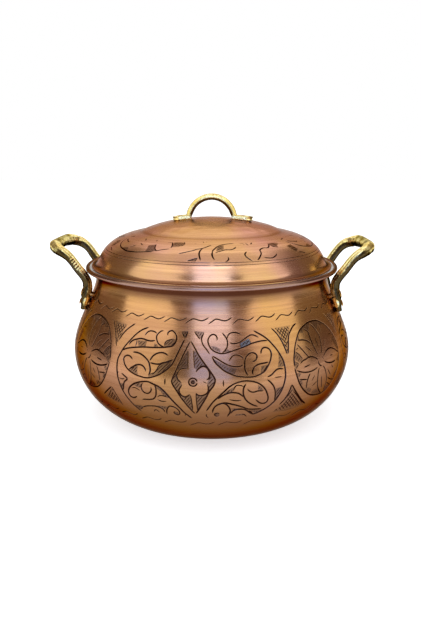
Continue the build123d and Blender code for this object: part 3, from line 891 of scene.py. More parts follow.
potShape = {
    "bellyRadius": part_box("pot_body")[1][0] / mm,
    "bellyHeight": 70.0,
    "bellyPull": 26.4,
    "neckRadius": 115.3,
    "neckFoot": 143.0,
    "neckPull": 16.7,
    "rimHeight": 152.0,
    "neckBend": 2.0,
    "hemMiddle": 123.0,
    "hemRadius": 2.0,
    "hemSink": 0.6,
    "thickness": 1.2,
    "zoneLow": 28.0,            # the engraved zone's lower and upper height
    "zoneHigh": 132.0,
    "planRadius": 135.0,        # the engraving's plan is unrolled at this radius
    "seam": 148.5,              # degrees, in a plain ribbon at the back
    "seamSteps": 26,
    "overlap": 6.0,             # strokes this near an end of the plan are drawn at both ends
    "margin": 8.0,              # plain corners go this far past the ends
    "rowHeight": 0.87,          # of the plain corners' spacing
    "widths": (0.9, 1.12),      # a stroke's width varies between these shares
    "seed": 7,
    "steps": {"base": 6, "belly": 40, "shoulder": 60, "neck": 2, "bend": 6, "flange": 2, "hem": 22},
}


def potWall(inset):
    shape = potShape
    base = shape["bellyRadius"] - shape["bellyHeight"]
    belly = shape["bellyRadius"] - inset
    neck = shape["neckRadius"] - inset
    underside = shape["rimHeight"] - shape["thickness"]
    bend = (shape["neckRadius"] + shape["neckBend"], underside - shape["neckBend"])
    meeting = shape["hemMiddle"] - math.sqrt(shape["hemRadius"]**2 - shape["hemSink"]**2)
    shoulder = [(belly, shape["bellyHeight"]), (belly, shape["bellyHeight"] + shape["bellyPull"]),
                (neck, shape["neckFoot"] - shape["neckPull"]), (neck, shape["neckFoot"])]
    steps = shape["steps"]
    return chain(
        linePoints((0, inset), (base, inset), steps["base"]),
        arcPoints((base, shape["bellyHeight"]), shape["bellyHeight"] - inset, -90, 0, steps["belly"]),
        curvePoints(shoulder, steps["shoulder"]),
        linePoints((neck, shape["neckFoot"]), (neck, bend[1]), steps["neck"]),
        arcPoints(bend, shape["neckBend"] + inset, 180, 90, steps["bend"]),
        linePoints((bend[0], underside + inset), (meeting, underside + inset), steps["flange"]),
    )


def potHem():
    shape = potShape
    tilt = math.degrees(math.asin(shape["hemSink"] / shape["hemRadius"]))
    middle = (shape["hemMiddle"], shape["rimHeight"] - shape["hemSink"])
    return arcPoints(middle, shape["hemRadius"], 180 + tilt, 540 - tilt, shape["steps"]["hem"])


def bellyPlan(toPlan, width, draw):
    # Every cut of the belly in the unrolled plan, with copies past both ends of the plan
    plan = newPlan()
    shape = cutShape
    lines = {"deep": [], "fine": [], "field": [], "grounds": [], "crossed": []}

    def placed(points, start, middle, scale, lift=0.0):
        return [(middle + (turn - start) * scale, height + lift) for turn, height in points]

    def addMotif(motif, *place):
        for kind in lines:
            lines[kind] += [placed(points, *place) for points in motif.get(kind, [])]

    for middle, scale in layout["panels"]:
        for motif in (diamond, leftScroll, rightScroll):
            addMotif(motif, layout["panelMiddle"], middle, scale)
    for place in layout["rosettes"]:
        addMotif({**rosette, "field": [rosette["deep"][0][:-1]]}, layout["rosetteMiddle"], *place)
    strayTurn, strayHeight = wave["stray"]
    for points, count in (wave["upper"], wave["lower"]):
        for i in range(count):
            start = wave["start"] + 360 * i / count + draw.uniform(-strayTurn, strayTurn)
            lift = draw.uniform(-strayHeight, strayHeight)
            lines["fine"].append([(start + turn, height + lift) for turn, height in points])

    def inPlan(points):
        # mapped, then brought near the plan and repeated where it reaches over an end
        flat = np.array([toPlan(turn, height) for turn, height in points])
        flat[:, 0] -= width * math.floor(flat[:, 0].mean() / width)
        copies = [flat]
        if flat[:, 0].min() < potShape["overlap"]:
            copies.append(flat + (width, 0))
        if flat[:, 0].max() > width - potShape["overlap"]:
            copies.append(flat - (width, 0))
        return copies

    for kind in ("deep", "fine"):
        for points in lines[kind]:
            wide = shape[kind] * draw.uniform(*potShape["widths"])
            for flat in inPlan(points):
                addCut(plan, smoothLine(flat, shape["step"]), wide, shape["taper"])
    for points in lines["field"]:
        for flat in inPlan(points):
            addGround(plan, flat, "field")
    for kind in ("grounds", "crossed"):
        for points in lines[kind]:
            copies = inPlan(points)
            seed = draw.random()
            for flat in copies:
                repeat = random.Random(seed)
                addGround(plan, flat, kind)
                angle = shape["hatchAngle"] + repeat.uniform(-shape["hatchTurn"], shape["hatchTurn"])
                hatch(plan, flat.tolist(), angle, *shape[kind], repeat)
                if kind == "crossed":
                    hatch(plan, flat.tolist(), -shape["hatchAngle"], *shape[kind], repeat)
    for place in layout["panels"]:
        centre = inPlan(placed([layout["ringPlace"]], layout["panelMiddle"], *place))[0][0]
        for radius in layout["ringRadii"]:
            angles = np.linspace(0, 2 * math.pi, 17)
            ring = centre + radius * np.column_stack([np.cos(angles), np.sin(angles)])
            addCut(plan, ring, shape["deep"], layout["ringTaper"])
        angles = np.linspace(*layout["coreArc"])
        core = centre + layout["coreRadius"] * np.column_stack([np.cos(angles), np.sin(angles)])
        addGround(plan, core, "grounds")
    # one patch of the front scroll's ground has a painted bluish sheen
    for flat in inPlan(layout["sheenPatch"]):
        addGround(plan, flat, "paintedSheen")
        hatch(plan, flat.tolist(), *layout["sheenPatchHatch"], shape["grounds"][1], draw)
    return plan


def groundOver(plan, middles):
    # The ground value at the middle of each triangle; a later ground covers an earlier one
    ground = np.zeros(len(middles))
    for outline, value in plan["grounds"]:
        corners = np.array(outline)
        near = (np.abs(middles - corners.mean(axis=0)) < np.ptp(corners, axis=0)).all(axis=1)
        near = np.flatnonzero(near)
        ground[near[insidePolygon(middles[near], outline)]] = value
    return ground


def engraveZone(name, plan, sections, zone, unroll, within, material, body, node, lumps=None):
    # Sink a plan's cuts, bend it onto the section's engraved zone and join it to the plain rings
    run = lengthAlong(zone)
    way = np.gradient(zone, run, axis=0)
    way /= np.hypot(way[:, 0], way[:, 1])[:, None]
    print(name, len(plan["points"]), "corners in the plan,", len(plan["cuts"]), "pieces of cuts")
    flat, triangles = triangulate(plan)
    depths = cutDepths(flat, plan["cuts"])
    middles = flat[np.array(triangles)].mean(axis=1)
    inZone = within(middles)
    triangles = [triangle for triangle, inside in zip(triangles, inZone) if inside]
    turn, s = unroll(flat)
    s = np.clip(s, 0, run[-1])
    # the borders' corners go exactly to those of the plain rings
    atBorder = (s < sameSpot) | (s > run[-1] - sameSpot)
    step = 2 * math.pi / ringCount
    turn = np.where(atBorder, np.round(turn / step) * step, turn)
    outReach, outHeight = np.interp(s, run, way[:, 1]), -np.interp(s, run, way[:, 0])
    reach = np.interp(s, run, zone[:, 0]) - depths * outReach
    height = np.interp(s, run, zone[:, 1]) - depths * outHeight
    places = np.column_stack([reach * np.sin(turn), -reach * np.cos(turn), height])
    normals = np.column_stack([outReach * np.sin(turn), -outReach * np.cos(turn), outHeight])

    # the plain rings, then the zone
    verts, faces = [], []
    for section in sections:
        addRings(verts, faces, section)
    if lumps:
        verts = lumps(verts)
    plainVerts, plainFaces = len(verts), len(faces)
    verts = np.vstack([np.array(verts), places])
    faces += [tuple(plainVerts + i for i in triangle) for triangle in triangles]
    depthOf = np.concatenate([np.zeros(plainVerts), depths])
    normalOf = np.vstack([np.zeros((plainVerts, 3)), normals])
    groundOf = np.concatenate([np.zeros(plainFaces), groundOver(plan, middles[inZone])])
    # corners in the same place are welded
    _, firsts, back = np.unique(np.round(verts, 3), axis=0, return_index=True, return_inverse=True)
    back = back.ravel()
    used = [tuple(int(back[i]) for i in face) for face in faces]
    keep = [i for i, face in enumerate(used) if len(set(face)) == len(face)]
    kept = [used[i] for i in keep]
    piece = makeObject(name, verts[firsts].tolist(), kept, material, body, node)
    deepest = cutShape["slope"] * cutShape["deep"]
    addValues(piece, "cut", "POINT", np.clip(depthOf[firsts] / deepest, 0, 1))
    addValues(piece, "ground", "FACE", groundOf[keep])
    # plain surface keeps its round normals, and each wall of a cut is flat
    loops = []
    for polygon, i in zip(piece.data.polygons, keep):
        face = faces[i]
        if i < plainFaces:
            loops += [(0.0, 0.0, 0.0)] * len(face)
        elif all(depthOf[c] == 0 for c in face):
            loops += [tuple(normalOf[c]) for c in face]
        else:
            loops += [tuple(polygon.normal)] * len(face)
    piece.data.normals_split_custom_set(loops)


def makePotSkin():
    shape = potShape
    low, above = splitAt(potWall(0), 1, shape["zoneLow"])
    zone, high = splitAt(above, 1, shape["zoneHigh"])
    inside = chain(potHem(), potWall(shape["thickness"])[::-1])
    zone = np.array(zone)
    run = lengthAlong(zone)
    radius = shape["planRadius"]
    width = 2 * math.pi * radius
    seam = math.radians(shape["seam"])

    def toPlan(turn, height):
        angle = math.radians(turn + cameraView["turn"]) - seam
        return radius * angle, float(np.interp(height, zone[:, 1], run))

    plan = bellyPlan(toPlan, width, random.Random(shape["seed"]))
    # the plan's borders: two rings with the corners of the plain rings, and the seam
    gap = width / ringCount
    columns = np.arange(-3, ringCount + 4) * gap + (-seam * radius) % gap
    for level in (0.0, run[-1]):
        addEdge(plan, [[x, level] for x in columns])
    for x in (0.0, width):
        addEdge(plan, [[x, y] for y in np.linspace(0, run[-1], shape["seamSteps"] + 1)])
    spacing = cutShape["plainSpacing"]
    rows = int(run[-1] / (spacing * shape["rowHeight"]))
    count = int((width + 2 * shape["margin"]) / spacing)
    candidates = []
    for row in range(1, rows):
        first = (spacing / 2 if row % 2 else 0) - shape["margin"]
        candidates += [[first + i * spacing, run[-1] * row / rows] for i in range(count)]
    fillPlan(plan, candidates)

    def unroll(flat):
        atSeam = (np.abs(flat[:, 0]) < sameSpot) | (np.abs(flat[:, 0] - width) < sameSpot)
        return np.where(atSeam, 0, flat[:, 0]) / radius + seam, flat[:, 1]

    def within(middles):
        return ((middles > 0) & (middles < (width, run[-1]))).all(axis=1)

    engraveZone("potSkin", plan, [low, high + inside], zone, unroll, within, potCopper, "pot", "pot_body")


makePotSkin()
print("pot engraved")


# Lid

# The lid's ornament, three times round. Points are (degrees from the camera, radius in mm).
lidTrace = {
    "deep": [
        # the leaf right of the middle with its tail and hook
        [(0.2, 95.5), (0.5, 93), (1.5, 90.5), (2.5, 88), (3.8, 85.8), (5.2, 84), (7, 83), (9, 82),
         (11, 81.5), (14, 81.2)],
        [(1.7, 96), (2.5, 95), (4, 94), (5.8, 92.8), (7, 92), (8.5, 91.9), (10, 92), (11.5, 91.2),
         (12.8, 89.8), (13.7, 87.5)],
        [(0.5, 94), (0.1, 97), (0.4, 100), (1.4, 103)],
        [(7.6, 99.9), (8.1, 101.5), (7.7, 103), (6.8, 104), (6, 104.4)],
        # the two open curls further right
        [(18.5, 95), (17.2, 97), (16.6, 98.5), (16.8, 100.5), (17.5, 102), (18.5, 103.5), (19.5, 104.4)],
        [(21.7, 104), (23, 103), (24.3, 101), (25.4, 99), (25.9, 97), (26, 95), (27, 93.3), (28.5, 92.3),
         (30, 91.8), (32, 92.2), (33.4, 91), (34.5, 89), (35.5, 86.5)],
        [(25.7, 101.8), (27, 102.6), (29, 103.1), (31, 103), (32.8, 102), (34, 100.8), (34.6, 99.5)],
        [(23.5, 85), (24.6, 83), (26, 81)],
        # the long stem left of the middle
        [(-17.2, 97.8), (-15, 96.5), (-12.5, 94.8), (-10, 93.2), (-8, 91.2), (-5.5, 90), (-3.5, 88),
         (-2, 86), (0, 83.8)],
        [(-5, 90), (-5.8, 92), (-6.3, 94.5), (-6.4, 97), (-6.1, 99.5), (-5.7, 101.5), (-5.3, 103.5)],
        [(-12, 104), (-10, 103), (-8, 101.8), (-6.5, 101)],
        # the big leaf at the left
        [(-25.6, 80.5), (-24.5, 83), (-23.7, 85.5), (-23.2, 88), (-22.9, 90), (-23.3, 91.5)],
        [(-23, 92), (-25, 93), (-27.5, 94.2), (-30, 96), (-31.5, 94.5), (-32.8, 92), (-33.8, 89),
         (-34.3, 86.5)],
        [(-60, 97.5), (-56.5, 98.7), (-53, 99.7), (-50, 100.3), (-46, 100.2), (-42, 99.7),
         (-38.5, 98.8), (-36.5, 98.3), (-32, 97.5)],
        [(-69, 85.5), (-67.5, 89), (-65, 93), (-62, 96), (-58.5, 98.3)],
        [(-67, 86), (-63, 88), (-59, 90), (-57, 89.5)],
        [(-50.8, 96), (-49.5, 94), (-47.5, 92.5)],
    ],
    "fine": [
        [(17.5, 81), (17.6, 83.5)],
        [(18.5, 80.5), (18.6, 83)],
        [(19.3, 81), (19.6, 85)],
        [(21.2, 80.5), (21.6, 87)],
        [(-11, 81), (-9, 81.5)],
        [(-5.6, 76), (-5.2, 79.5)],
        [(-3.8, 76), (-3, 78)],
        [(-28.5, 82), (-26, 81), (-24.5, 80.8)],
        [(-18, 78), (-17, 81), (-16.2, 83.5)],
        [(-39.8, 78), (-38.2, 79.5), (-37.2, 82)],
        [(-50.5, 78.5), (-48.5, 80), (-47, 82), (-46.2, 84)],
        [(-47, 87.5), (-45.5, 89), (-44, 90), (-42.5, 90.7)],
        [(50, 101.7), (52.5, 102), (54.5, 103), (56, 103.3)],
        [(50, 82.5), (53, 80.8), (56, 80)],
    ],
    "grounds": [
        [(2.2, 93.6), (4, 93), (6.4, 91.4), (7, 84.6), (5.6, 84.8), (4, 86.6), (2.8, 89.2)],
        [(-7.5, 104.2), (-12, 104), (-10, 103), (-8, 101.8), (-6.5, 101), (-7.2, 102.5)],
        [(-24, 80.5), (-19.5, 79.5), (-17.5, 80), (-16, 83.5), (-17, 87), (-19.5, 88.5), (-22.5, 89.5),
         (-23.3, 86), (-24, 82)],
        [(-38.5, 90), (-34.5, 87), (-33.8, 89), (-32.3, 93.5), (-30.5, 96.5), (-33, 98), (-36.5, 98.5),
         (-37, 95)],
        [(-56.5, 98.5), (-54.5, 97), (-51.5, 96.5), (-50, 98), (-50.3, 100)],
        [(34.5, 86), (37, 85), (41.5, 86), (43, 87.5), (40, 90.5), (39, 93.5), (35.5, 92)],
        [(46, 93), (51, 92), (52, 99), (48.5, 101)],
    ],
}

lidShape = {
    "thickness": 1.0,
    "brimTop": 153.6,
    "edge": (119.01, 118.51),   # the lid's radius, and where its brim's bend starts
    "bend": 6.0,
    "footWay": (0.4, -1.0),     # the tier's way down into the brim's bend
    "footPull": 21.5,
    "crown": 198.0,
    "crownPull": 24.0,
    "crease": (69.3, 185.6),
    "domeFall": 0.54,           # fall for each mm outward at the crease, of the dome and of the tier
    "domePull": 17.0,
    "tierFall": 0.2,
    "tierPull": 20.0,
    "zone": (109.0, 71.0),      # outer and inner radius of the engraved zone
    "repeats": 3,
    "widths": (0.85, 1.05),
    "circles": ((104.9, 0.34), (106.7, 0.34)),
    "circleTaper": 0.3,
    "plainRows": 12,
    "slack": 0.01,              # how far inside the zone's inner ring a triangle's middle may lie
    "seed": 11,
    "steps": {"dome": 44, "tier": 40, "bend": 8, "brim": 1},
    "hammerSeed": 21,
    "hammerMarks": 150,
    "hammerReach": (5.0, 8.5),
    "hammerDepth": (0.16, 0.34),
    "hammerRoom": 1.0,          # plain metal left inside the crease
    "hammerAbove": 0.3,         # only metal this far above the crease is marked
    "hammerFade": 6.0,
}


def lidWall(inset):
    # dome, tier and brim of the lid's section, inset from its outer face
    shape = lidShape
    domeWay, tierWay = unit(1, -shape["domeFall"]), unit(1, -shape["tierFall"])
    footWay = unit(*shape["footWay"])
    crown, brim = shape["crown"] - inset, shape["brimTop"] - inset
    share = inset / (1 + domeWay[0] * tierWay[0] + domeWay[1] * tierWay[1])
    crease = (shape["crease"][0] + share * (domeWay[1] + tierWay[1]),
              shape["crease"][1] - share * (domeWay[0] + tierWay[0]))
    middle = (shape["edge"][1], shape["brimTop"] + shape["bend"])
    bend = shape["bend"] + inset
    foot = (middle[0] + footWay[1] * bend, middle[1] - footWay[0] * bend)

    def pulled(start, way, length):
        return start[0] + way[0] * length, start[1] + way[1] * length

    dome = [(0, crown), (shape["crownPull"], crown), pulled(crease, domeWay, -shape["domePull"]), crease]
    tier = [crease, pulled(crease, tierWay, shape["tierPull"]),
            pulled(foot, footWay, -shape["footPull"]), foot]
    lean = math.degrees(math.atan(shape["footWay"][0]))
    steps = shape["steps"]
    return chain(
        curvePoints(dome, steps["dome"]),
        curvePoints(tier, steps["tier"]),
        arcPoints(middle, bend, 180 + lean, 270, steps["bend"]),
        linePoints((middle[0], brim), (shape["edge"][0], brim), steps["brim"]),
    )


def hammerMarks(verts):
    # Shallow round marks all over the dome's upper face
    shape = lidShape
    draw = random.Random(shape["hammerSeed"])
    spots = np.array(verts)
    reach = np.hypot(spots[:, 0], spots[:, 1])
    limit = shape["crease"][0] - shape["hammerRoom"]
    upper = (reach < limit) & (spots[:, 2] > shape["crease"][1] + shape["hammerAbove"])
    sunk = np.zeros(len(spots))
    for _ in range(shape["hammerMarks"]):
        away = (limit - shape["hammerRoom"]) * math.sqrt(draw.random())
        turn = draw.uniform(0, 2 * math.pi)
        size = draw.uniform(*shape["hammerReach"])
        depth = draw.uniform(*shape["hammerDepth"])
        gap = np.hypot(spots[:, 0] - away * math.cos(turn), spots[:, 1] - away * math.sin(turn)) / size
        sunk = np.maximum(sunk, depth * np.clip(1 - gap**2, 0, 1))
    fade = np.clip((limit - reach) / shape["hammerFade"], 0, 1)
    spots[:, 2] -= np.where(upper & (reach > sameSpot), sunk * fade, 0)
    return [tuple(spot) for spot in spots]


def makeLidSkin():
    shape = lidShape
    dome, rest = splitAt(lidWall(0), 0, shape["zone"][1])
    zone, brim = splitAt(rest, 0, shape["zone"][0])
    zone = np.array(zone[::-1])
    run = lengthAlong(zone)
    inner = shape["zone"][1]
    outside = inner + run[-1]

    def toPlan(turn, reach):
        away = outside - float(np.interp(-reach, -zone[:, 0], run))
        return roundAxis(away, math.radians(turn + cameraView["turn"]))

    draw = random.Random(shape["seed"])
    plan = newPlan()
    for repeat in range(shape["repeats"]):
        shift = 360 / shape["repeats"] * repeat

        def placed(points):
            return [toPlan(turn + shift, reach) for turn, reach in points]

        for kind in ("deep", "fine"):
            for points in lidTrace[kind]:
                line = smoothLine(placed(points), cutShape["step"])
                addCut(plan, line, cutShape[kind] * draw.uniform(*shape["widths"]), cutShape["taper"])
        for points in lidTrace["grounds"]:
            addGround(plan, placed(points), "grounds")
            hatch(plan, placed(points), cutShape["hatchAngle"] + shift, *cutShape["grounds"], draw)
    for reach, half in shape["circles"]:
        circle = np.array([toPlan(turn, reach) for turn in np.linspace(0, 360, ringCount + 1)])
        addCut(plan, circle, half, shape["circleTaper"])
    for away in (inner, outside):
        corners = [list(roundAxis(away, turn)) for turn in ringTurns()]
        addEdge(plan, corners + corners[:1])
    candidates = []
    for row in range(1, shape["plainRows"]):
        away = inner + run[-1] * row / shape["plainRows"]
        count = int(2 * math.pi * away / cutShape["plainSpacing"])
        turns = [2 * math.pi * (k + 0.5 * (row % 2)) / count for k in range(count)]
        candidates += [list(roundAxis(away, turn)) for turn in turns]
    fillPlan(plan, candidates)

    def unroll(flat):
        return np.arctan2(flat[:, 0], -flat[:, 1]), outside - np.hypot(flat[:, 0], flat[:, 1])

    def within(middles):
        away = np.hypot(middles[:, 0], middles[:, 1])
        chord = math.cos(math.pi / ringCount)
        return (away > inner * chord - shape["slack"]) & (away < outside)

    sections = [lidWall(shape["thickness"]) + brim[::-1], dome[::-1]]
    engraveZone("lidSkin", plan, sections, zone, unroll, within, lidCopper, "lid", "lid_shell", hammerMarks)


makeLidSkin()
print("lid engraved")


# Cast brass. Each piece starts from the CAD's own, meshed evenly and worked over.

# Middles of the right-hand loop's cross-sections (out, across, up), width and thickness,
# from one foot's lower end to the middle of the grip: as the CAD has them, and as cast,
# a little stouter from the knee up and shorter in its reach
cadStations = [
    (124.4, 35.0, 112.5, 12.0, 6.6),
    (122.4, 35.0, 120.8, 14.0, 9.2),
    (120.9, 35.0, 127.5, 13.2, 10.4),
    (119.4, 35.0, 139.0, 10.4, 9.4),
    (126.4, 37.0, 152.0, 9.4, 8.8),
    (137.0, 37.0, 164.4, 9.4, 8.8),
    (147.5, 34.0, 172.2, 11.9, 10.8),
    (152.8, 24.4, 173.4, 10.6, 9.6),
    (155.1, 12.2, 172.8, 10.6, 9.6),
    (155.7, 0.0, 172.6, 10.6, 9.6),
]
castStations = cadStations[:4] + [
    (126.8, 37.0, 152.0, 10.6, 9.3),
    (135.8, 37.0, 164.1, 10.8, 9.4),
    (145.0, 34.4, 169.8, 12.0, 11.0),
    (150.8, 25.2, 171.8, 12.7, 11.7),
    (152.9, 12.6, 172.2, 11.8, 10.8),
    (153.2, 0.0, 172.2, 11.8, 10.8),
]

# Places along the loop are in stations, counted from the nearer foot's lower end.
# Angles go round a section: 0 is the loop's outer side, 90 its inner and upper face.
# Three numbers in a row are a window: from, to, and the width of its soft ends.
loopFinish = {
    "voxel": 0.5,
    "step": 24,                 # samples between two stations
    "square": (1, 0, -0.5),     # a section's width stands square to this way
    "gripFrom": (5.6, 0.8),     # where the legs turn into the grip, and over what length
    # how deep the casting is hollowed below its round section, in mm by angle, on the legs and on the grip
    "hollow": (
        [(-180, 0.15), (-150, 0.0), (-120, 0.3), (-90, 0.1), (-60, 0.35), (-25, 0.0), (0, 0.3), (20, 0.0),
         (34, 0.35), (46, 0.8), (58, 0.3), (72, 0.0), (95, 0.3), (125, 0.0), (155, 0.3), (180, 0.15)],
        [(-180, 0.3), (-150, 0.0), (-120, 0.3), (-90, 0.0), (-60, 0.3), (-30, 0.0), (0, 0.35), (30, 0.0),
         (60, 0.4), (90, 0.0), (120, 0.4), (150, 0.0), (180, 0.3)],
    ),
    # how dark the casting is painted, likewise: tarnish, with painted shade on its outer and lower sides
    # and a painted highlight on its upper face
    "tarnishAndShade": (
        [(-180, 1.0), (-20, 1.0), (4, 0.85), (16, 0.5), (24, 0.05), (38, 0.0), (46, 0.45), (54, 0.0),
         (120, 0.0), (136, 0.3), (150, 0.95), (180, 1.0)],
        [(-180, 0.95), (-140, 1.0), (-90, 0.9), (-50, 0.6), (-20, 0.2), (10, 0.45), (60, 0.5), (100, 0.2),
         (120, 0.5), (140, 0.95), (180, 0.95)],
    ),
    # ring-like swellings at the two corners, with a painted highlight on top, weaker in their grooves
    "corner": {"at": 6.6, "length": 0.9, "pitch": 0.62, "depth": 0.42, "angles": (-55, 115, 20),
               "bright": 0.75, "shaded": 0.35},
    # a recess with ribs, on one leg only
    "ribs": {"stations": (3.95, 4.8, 0.12), "count": 5, "angles": (-2, 52, 10), "depth": 0.95,
             "height": 0.85, "bright": 1.1},
    # darker towards the foot, below the ribs
    "dull": {"stations": (1.75, 3.7, 0.5), "angles": (-30, 85, 30), "dark": 0.42},
    # a scoop in each foot with a painted highlight in it, and painted shade on the flat end below it
    "scoop": {"at": 1.15, "length": 0.55, "angles": (0, 95, 30), "depth": 0.9, "bright": 0.9,
              "tipSoft": 0.15, "tipDark": 0.5},
    "lumps": ((0.11, 0.28), (0.35, 0.10)),    # frequency per mm and depth in mm
    "lumpSeed": 3.7,
    "lumpTop": 0.05,            # how far a lump may stand out
    "wallRoom": (0.5, 1.5),     # distance kept as the CAD has it, and over what length it is left
    "rivetRoom": (6.5, 1.5),
}


def loopCentre(stations):
    # Samples along the loop: place, frame across, through and along, half sizes and station
    rows = np.array([*stations, *[(row[0], -row[1], *row[2:]) for row in stations[-2::-1]]])
    samples = curveThrough(rows, loopFinish["step"])
    along = np.gradient(samples[:, :3], axis=0)
    along /= np.linalg.norm(along, axis=1)[:, None]
    across = np.cross(along, loopFinish["square"])
    across /= np.linalg.norm(across, axis=1)[:, None]
    through = np.cross(along, across)
    station = np.arange(len(samples)) / loopFinish["step"]
    axes = np.stack([across, through, along], axis=1)
    sizes = np.column_stack([samples[:, 3:] / 2, np.ones(len(samples))])
    return samples[:, :3], axes, sizes, station


def ramp(value, start, length):
    return np.clip((value - start) / length, 0, 1)


def windowOf(value, low, high, soft):
    return ramp(value, low - soft / 2, soft) * ramp(-value, -high - soft / 2, soft)


def evenMesh(node, voxel):
    # An evenly meshed copy of a CAD node, as corners in mm, their normals and the faces
    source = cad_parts[node]
    copy = bpy.data.objects.new(node + "Copy", source.data.copy())
    copy.matrix_world = source.matrix_world.copy()
    bpy.context.scene.collection.objects.link(copy)
    modifier = copy.modifiers.new("even", "REMESH")
    modifier.mode = "VOXEL"
    modifier.voxel_size = voxel * mm
    mesh = bpy.data.meshes.new_from_object(copy.evaluated_get(bpy.context.evaluated_depsgraph_get()))
    verts = np.array([tuple(copy.matrix_world @ v.co) for v in mesh.vertices]) / mm
    normals = np.array([tuple(v.normal) for v in mesh.vertices])
    faces = [tuple(p.vertices) for p in mesh.polygons]
    bpy.data.objects.remove(copy)
    return verts, normals, faces


def lumpsAt(points, seed):
    # Seeded unevenness of a sand casting
    total = np.zeros(len(points))
    for frequency, depth in loopFinish["lumps"]:
        shifted = points * frequency + seed
        total += depth * np.array([noise.noise(Vector(point)) for point in shifted.tolist()])
    return total


def fixedPart(points, side):
    # 0 at the pot's wall and at the rivets, where the CAD's fit is kept, and 1 away from them
    outer = np.array([point for point in potWall(0) if point[1] > potShape["bellyHeight"]])
    wall = np.interp(points[:, 2], outer[:, 1], outer[:, 0])
    room, soft = loopFinish["wallRoom"]
    free = ramp(np.hypot(points[:, 0], points[:, 1]) - wall, room, soft)
    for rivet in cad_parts:
        if rivet.startswith("rivet_" + side):
            low, high = (np.array(corner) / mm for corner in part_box(rivet))
            free *= ramp(np.linalg.norm(points - (low + high) / 2, axis=1), *loopFinish["rivetRoom"])
    return free


def makeSideHandle(side, turned):
    node = "handle_" + side
    shape = loopFinish
    verts, normals, faces = evenMesh(node, shape["voxel"])
    spin = np.array((turned, turned, 1))
    points = verts * spin
    centres, axes, sizes, station = loopCentre(cadStations)
    castCentres, castAxes, castSizes, _ = loopCentre(castStations)
    tree = kdtree.KDTree(len(centres))
    for i, place in enumerate(centres):
        tree.insert(place, i)
    tree.balance()
    nearest = np.array([tree.find(point)[1] for point in points.tolist()])
    offset = points - centres[nearest]
    shares = np.einsum("ni,nai->na", offset, axes[nearest]) / sizes[nearest]
    angle = np.degrees(np.arctan2(shares[:, 1], shares[:, 0]))
    cast = np.einsum("na,nai->ni", shares * castSizes[nearest], castAxes[nearest]) + castCentres[nearest]
    verts = cast * spin
    place = station[nearest]
    fromEnd = np.minimum(place, station[-1] - place)
    onGrip = ramp(fromEnd, *shape["gripFrom"])

    def byAngle(tables):
        leg, grip = (np.interp(angle, *zip(*table)) for table in tables)
        return leg * (1 - onGrip) + grip * onGrip

    depth = byAngle(shape["hollow"])
    # darkness of the casting: tarnish, with painted shade below and painted highlights above
    tarnishAndShade = byAngle(shape["tarnishAndShade"])
    corner = shape["corner"]
    atCorner = np.clip(1 - np.abs(fromEnd - corner["at"]) / corner["length"], 0, 1)
    ring = 0.5 + 0.5 * np.cos(2 * math.pi * (fromEnd - corner["at"]) / corner["pitch"])
    depth += corner["depth"] * atCorner * ring
    tarnishAndShade -= atCorner * windowOf(angle, *corner["angles"]) * (corner["bright"] - corner["shaded"] * ring)
    ribs = shape["ribs"]
    low, high, _ = ribs["stations"]
    inside = windowOf(place, *ribs["stations"]) * windowOf(angle, *ribs["angles"])
    rib = 0.5 - 0.5 * np.cos(2 * math.pi * ribs["count"] * (place - low) / (high - low))
    depth = depth * (1 - inside) + inside * ribs["depth"] * (1 - rib * ribs["height"])
    tarnishAndShade = tarnishAndShade * (1 - inside) + inside * (1 - rib * ribs["bright"])
    dull = shape["dull"]
    tarnishAndShade += dull["dark"] * windowOf(fromEnd, *dull["stations"]) * windowOf(angle, *dull["angles"])
    scoop = shape["scoop"]
    hollow = np.clip(1 - ((fromEnd - scoop["at"]) / scoop["length"])**2, 0, 1)
    hollow *= windowOf(angle, *scoop["angles"])
    depth += scoop["depth"] * hollow
    tip = ramp(scoop["at"] - scoop["length"] - fromEnd, 0, scoop["tipSoft"])
    tarnishAndShade += tip * scoop["tipDark"] - scoop["bright"] * hollow

    lumps = np.minimum(lumpsAt(points, shape["lumpSeed"] * turned), shape["lumpTop"])
    moved = verts - normals * (fixedPart(verts, side) * (depth - lumps))[:, None]
    piece = makeObject("cast_" + side, moved.tolist(), faces, castBrass, "pot", node)
    # the hollow attribute carries tarnish, painted shade and painted highlights
    addValues(piece, "hollow", "POINT", np.clip(tarnishAndShade, 0, 1))


archFinish = {
    "voxel": 0.4,
    "middle": -2.2,             # height of the arch's centre from the crown
    "radii": (22.8, 22.35),     # of the arch's middle line, in the CAD and as cast
    "stout": 1.31,
    "from": (1.5, 5.0),         # height above the centre where the arch begins, and over what length
    # painted shade on the arch's underside
    "dark": (0.3, 1.5),         # its underside is dark: reach past the middle line, and softness
    "longer": 2.2,              # the right foot, and where along it
    "longerFrom": (27, 9),
    "footEnd": (35.5, 2.5, 0.5),    # where the feet darken, over what length, and how much
    "footFrom": 20,
    "flatBase": 1.0,            # nothing moves this low on a foot
    "upward": (0.3, 0.5),       # how far a face looks up where it starts to be lumpy, and softness
    "lumps": (1.6, 9.1, 0.7),   # frequency, seed and share of the side handles' lumps
}


